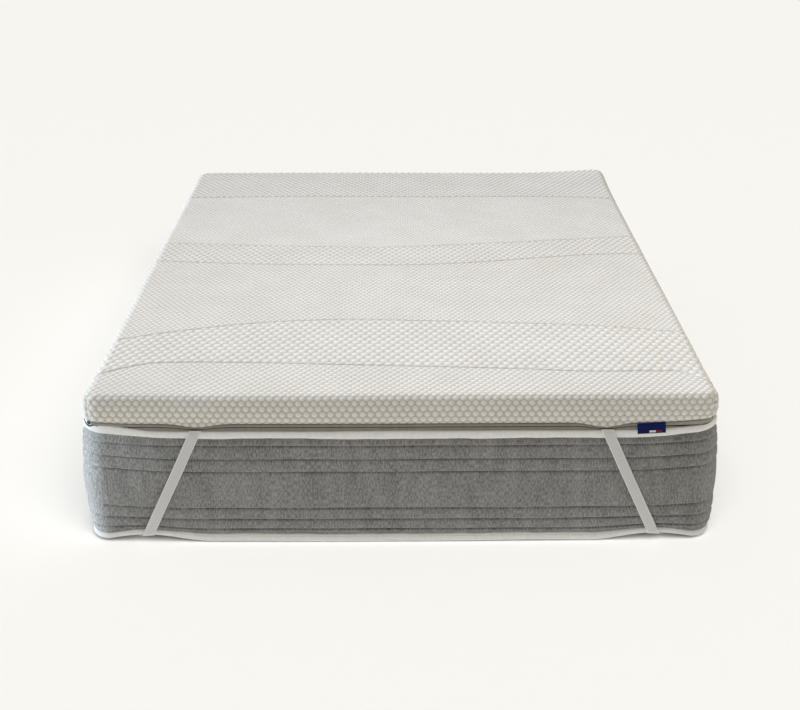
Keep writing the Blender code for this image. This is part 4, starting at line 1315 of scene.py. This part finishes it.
def make_stage(settings):
    """Pale floor, soft light and the camera at the photograph's angle."""
    scene = bpy.context.scene
    groups = {name: bpy.data.collections.new(name) for name in ("pieces", "mattress_pieces", "ground")}
    for piece in scene.objects:
        if piece.type == "MESH":
            groups["pieces"].objects.link(piece)
            if piece.name.startswith("mattress"):
                groups["mattress_pieces"].objects.link(piece)
    mesh = bpy.data.meshes.new("floor")
    corners = [(x * FLOOR_REACH, y * FLOOR_REACH, 0) for x, y in ((-1, -1), (1, -1), (1, 1), (-1, 1))]
    mesh.from_pydata(corners, [], [(0, 1, 2, 3)])
    floor = bpy.data.objects.new("floor", mesh)
    scene.collection.objects.link(floor)
    ground = Finish("floor", 0.9)
    ground.shader.inputs["Base Color"].default_value = (*settings.floor, 1.0)
    mesh.materials.append(ground.material)
    groups["ground"].objects.link(floor)
    world = bpy.data.worlds.new("studio")
    world.use_nodes = True
    background = world.node_tree.nodes["Background"]
    background.inputs["Color"].default_value = (*SKY_COLOUR, 1.0)
    background.inputs["Strength"].default_value = settings.sky
    scene.world = world
    for light in LIGHTS:
        add_light(light, getattr(settings, light.name), groups[light.receivers])
    data = bpy.data.cameras.new("camera")
    data.sensor_width = 36.0
    data.lens = settings.focal_length
    data.clip_end = 300.0
    camera = bpy.data.objects.new("camera", data)
    place = Matrix.Translation(CAMERA_PLACE)
    for degrees, axis in CAMERA_TURNS:
        place = place @ Matrix.Rotation(math.radians(degrees), 4, axis)
    camera.matrix_world = place
    scene.collection.objects.link(camera)
    scene.camera = camera
    scene.view_settings.view_transform = "Standard"


# ---- operators and panel --------------------------------------------------------------------------

class TOPPER_OT_cover(bpy.types.Operator):
    """Build the knitted cover's six zones and its bottom panel"""
    bl_idname = "topper.cover"
    bl_label = "Cover"
    bl_options = {"REGISTER", "UNDO"}

    def execute(self, context):
        make_cover(context.scene.topper_cover)
        make_underside()
        return {"FINISHED"}


class TOPPER_OT_zip(bpy.types.Operator):
    """Build the zip's tapes, coil, slider and pull"""
    bl_idname = "topper.zip"
    bl_label = "Zip"
    bl_options = {"REGISTER", "UNDO"}

    def execute(self, context):
        make_zip(context.scene.topper_trim)
        make_zip_pull(context.scene.topper_trim)
        return {"FINISHED"}


class TOPPER_OT_straps(bpy.types.Operator):
    """Build the four elastic straps"""
    bl_idname = "topper.straps"
    bl_label = "Straps"
    bl_options = {"REGISTER", "UNDO"}

    def execute(self, context):
        make_straps(context.scene.topper_trim)
        return {"FINISHED"}


class TOPPER_OT_label(bpy.types.Operator):
    """Build the woven label"""
    bl_idname = "topper.label"
    bl_label = "Label"
    bl_options = {"REGISTER", "UNDO"}

    def execute(self, context):
        make_label(context.scene.topper_trim)
        return {"FINISHED"}


class TOPPER_OT_mattress(bpy.types.Operator):
    """Build the mattress and its stitching"""
    bl_idname = "topper.mattress"
    bl_label = "Mattress"
    bl_options = {"REGISTER", "UNDO"}

    def execute(self, context):
        make_mattress(context.scene.topper_mattress)
        return {"FINISHED"}


class TOPPER_OT_tapes(bpy.types.Operator):
    """Build the mattress's two edge tapes"""
    bl_idname = "topper.tapes"
    bl_label = "Edge tapes"
    bl_options = {"REGISTER", "UNDO"}

    def execute(self, context):
        tape = context.scene.topper_trim.tape
        upper = woven_material("edge_tape", tape, 0.0016, 0.0003, 0.06)
        lower = woven_material("edge_tape_sewn", tape, 0.0016, 0.0003, 0.06, (0.0085, 0.0155))
        make_tape("tape_top_band", "mattress_tape_top", TAPE_HIGH_EDGES, upper, True)
        make_tape("tape_bottom_band", "mattress_tape_bottom", TAPE_LOW_EDGES, lower, False)
        return {"FINISHED"}


class TOPPER_OT_stage(bpy.types.Operator):
    """Set up the floor, lights and camera"""
    bl_idname = "topper.stage"
    bl_label = "Stage"
    bl_options = {"REGISTER", "UNDO"}

    def execute(self, context):
        make_stage(context.scene.topper_stage)
        return {"FINISHED"}


class TOPPER_PT_panel(bpy.types.Panel):
    """Lists the settings and the pieces"""
    bl_label = "Mattress topper"
    bl_idname = "TOPPER_PT_panel"
    bl_space_type = "VIEW_3D"
    bl_region_type = "UI"
    bl_category = "Topper"

    def draw(self, context):
        for title, group in SETTINGS.items():
            box = self.layout.box()
            settings = getattr(context.scene, title)
            for name in group.__annotations__:
                box.prop(settings, name)
        for operator in OPERATORS:
            self.layout.operator(operator.bl_idname)


SETTINGS = {
    "topper_cover": CoverSettings,
    "topper_trim": TrimSettings,
    "topper_mattress": MattressSettings,
    "topper_stage": StageSettings,
}
OPERATORS = (TOPPER_OT_cover, TOPPER_OT_zip, TOPPER_OT_straps, TOPPER_OT_label, TOPPER_OT_mattress,
             TOPPER_OT_tapes, TOPPER_OT_stage)


def register():
    """Register the classes and their settings."""
    for title, group in SETTINGS.items():
        bpy.utils.register_class(group)
        setattr(bpy.types.Scene, title, PointerProperty(type=group))
    for item in (*OPERATORS, TOPPER_PT_panel):
        bpy.utils.register_class(item)


def unregister():
    """Take the classes and their settings away again."""
    for item in (TOPPER_PT_panel, *reversed(OPERATORS)):
        bpy.utils.unregister_class(item)
    for title, group in SETTINGS.items():
        delattr(bpy.types.Scene, title)
        bpy.utils.unregister_class(group)


def main():
    """Build every piece and the stage."""
    register()
    bpy.ops.topper.cover()
    bpy.ops.topper.zip()
    bpy.ops.topper.straps()
    bpy.ops.topper.label()
    bpy.ops.topper.mattress()
    bpy.ops.topper.tapes()
    bpy.ops.topper.stage()


if __name__ == "__main__":
    main()
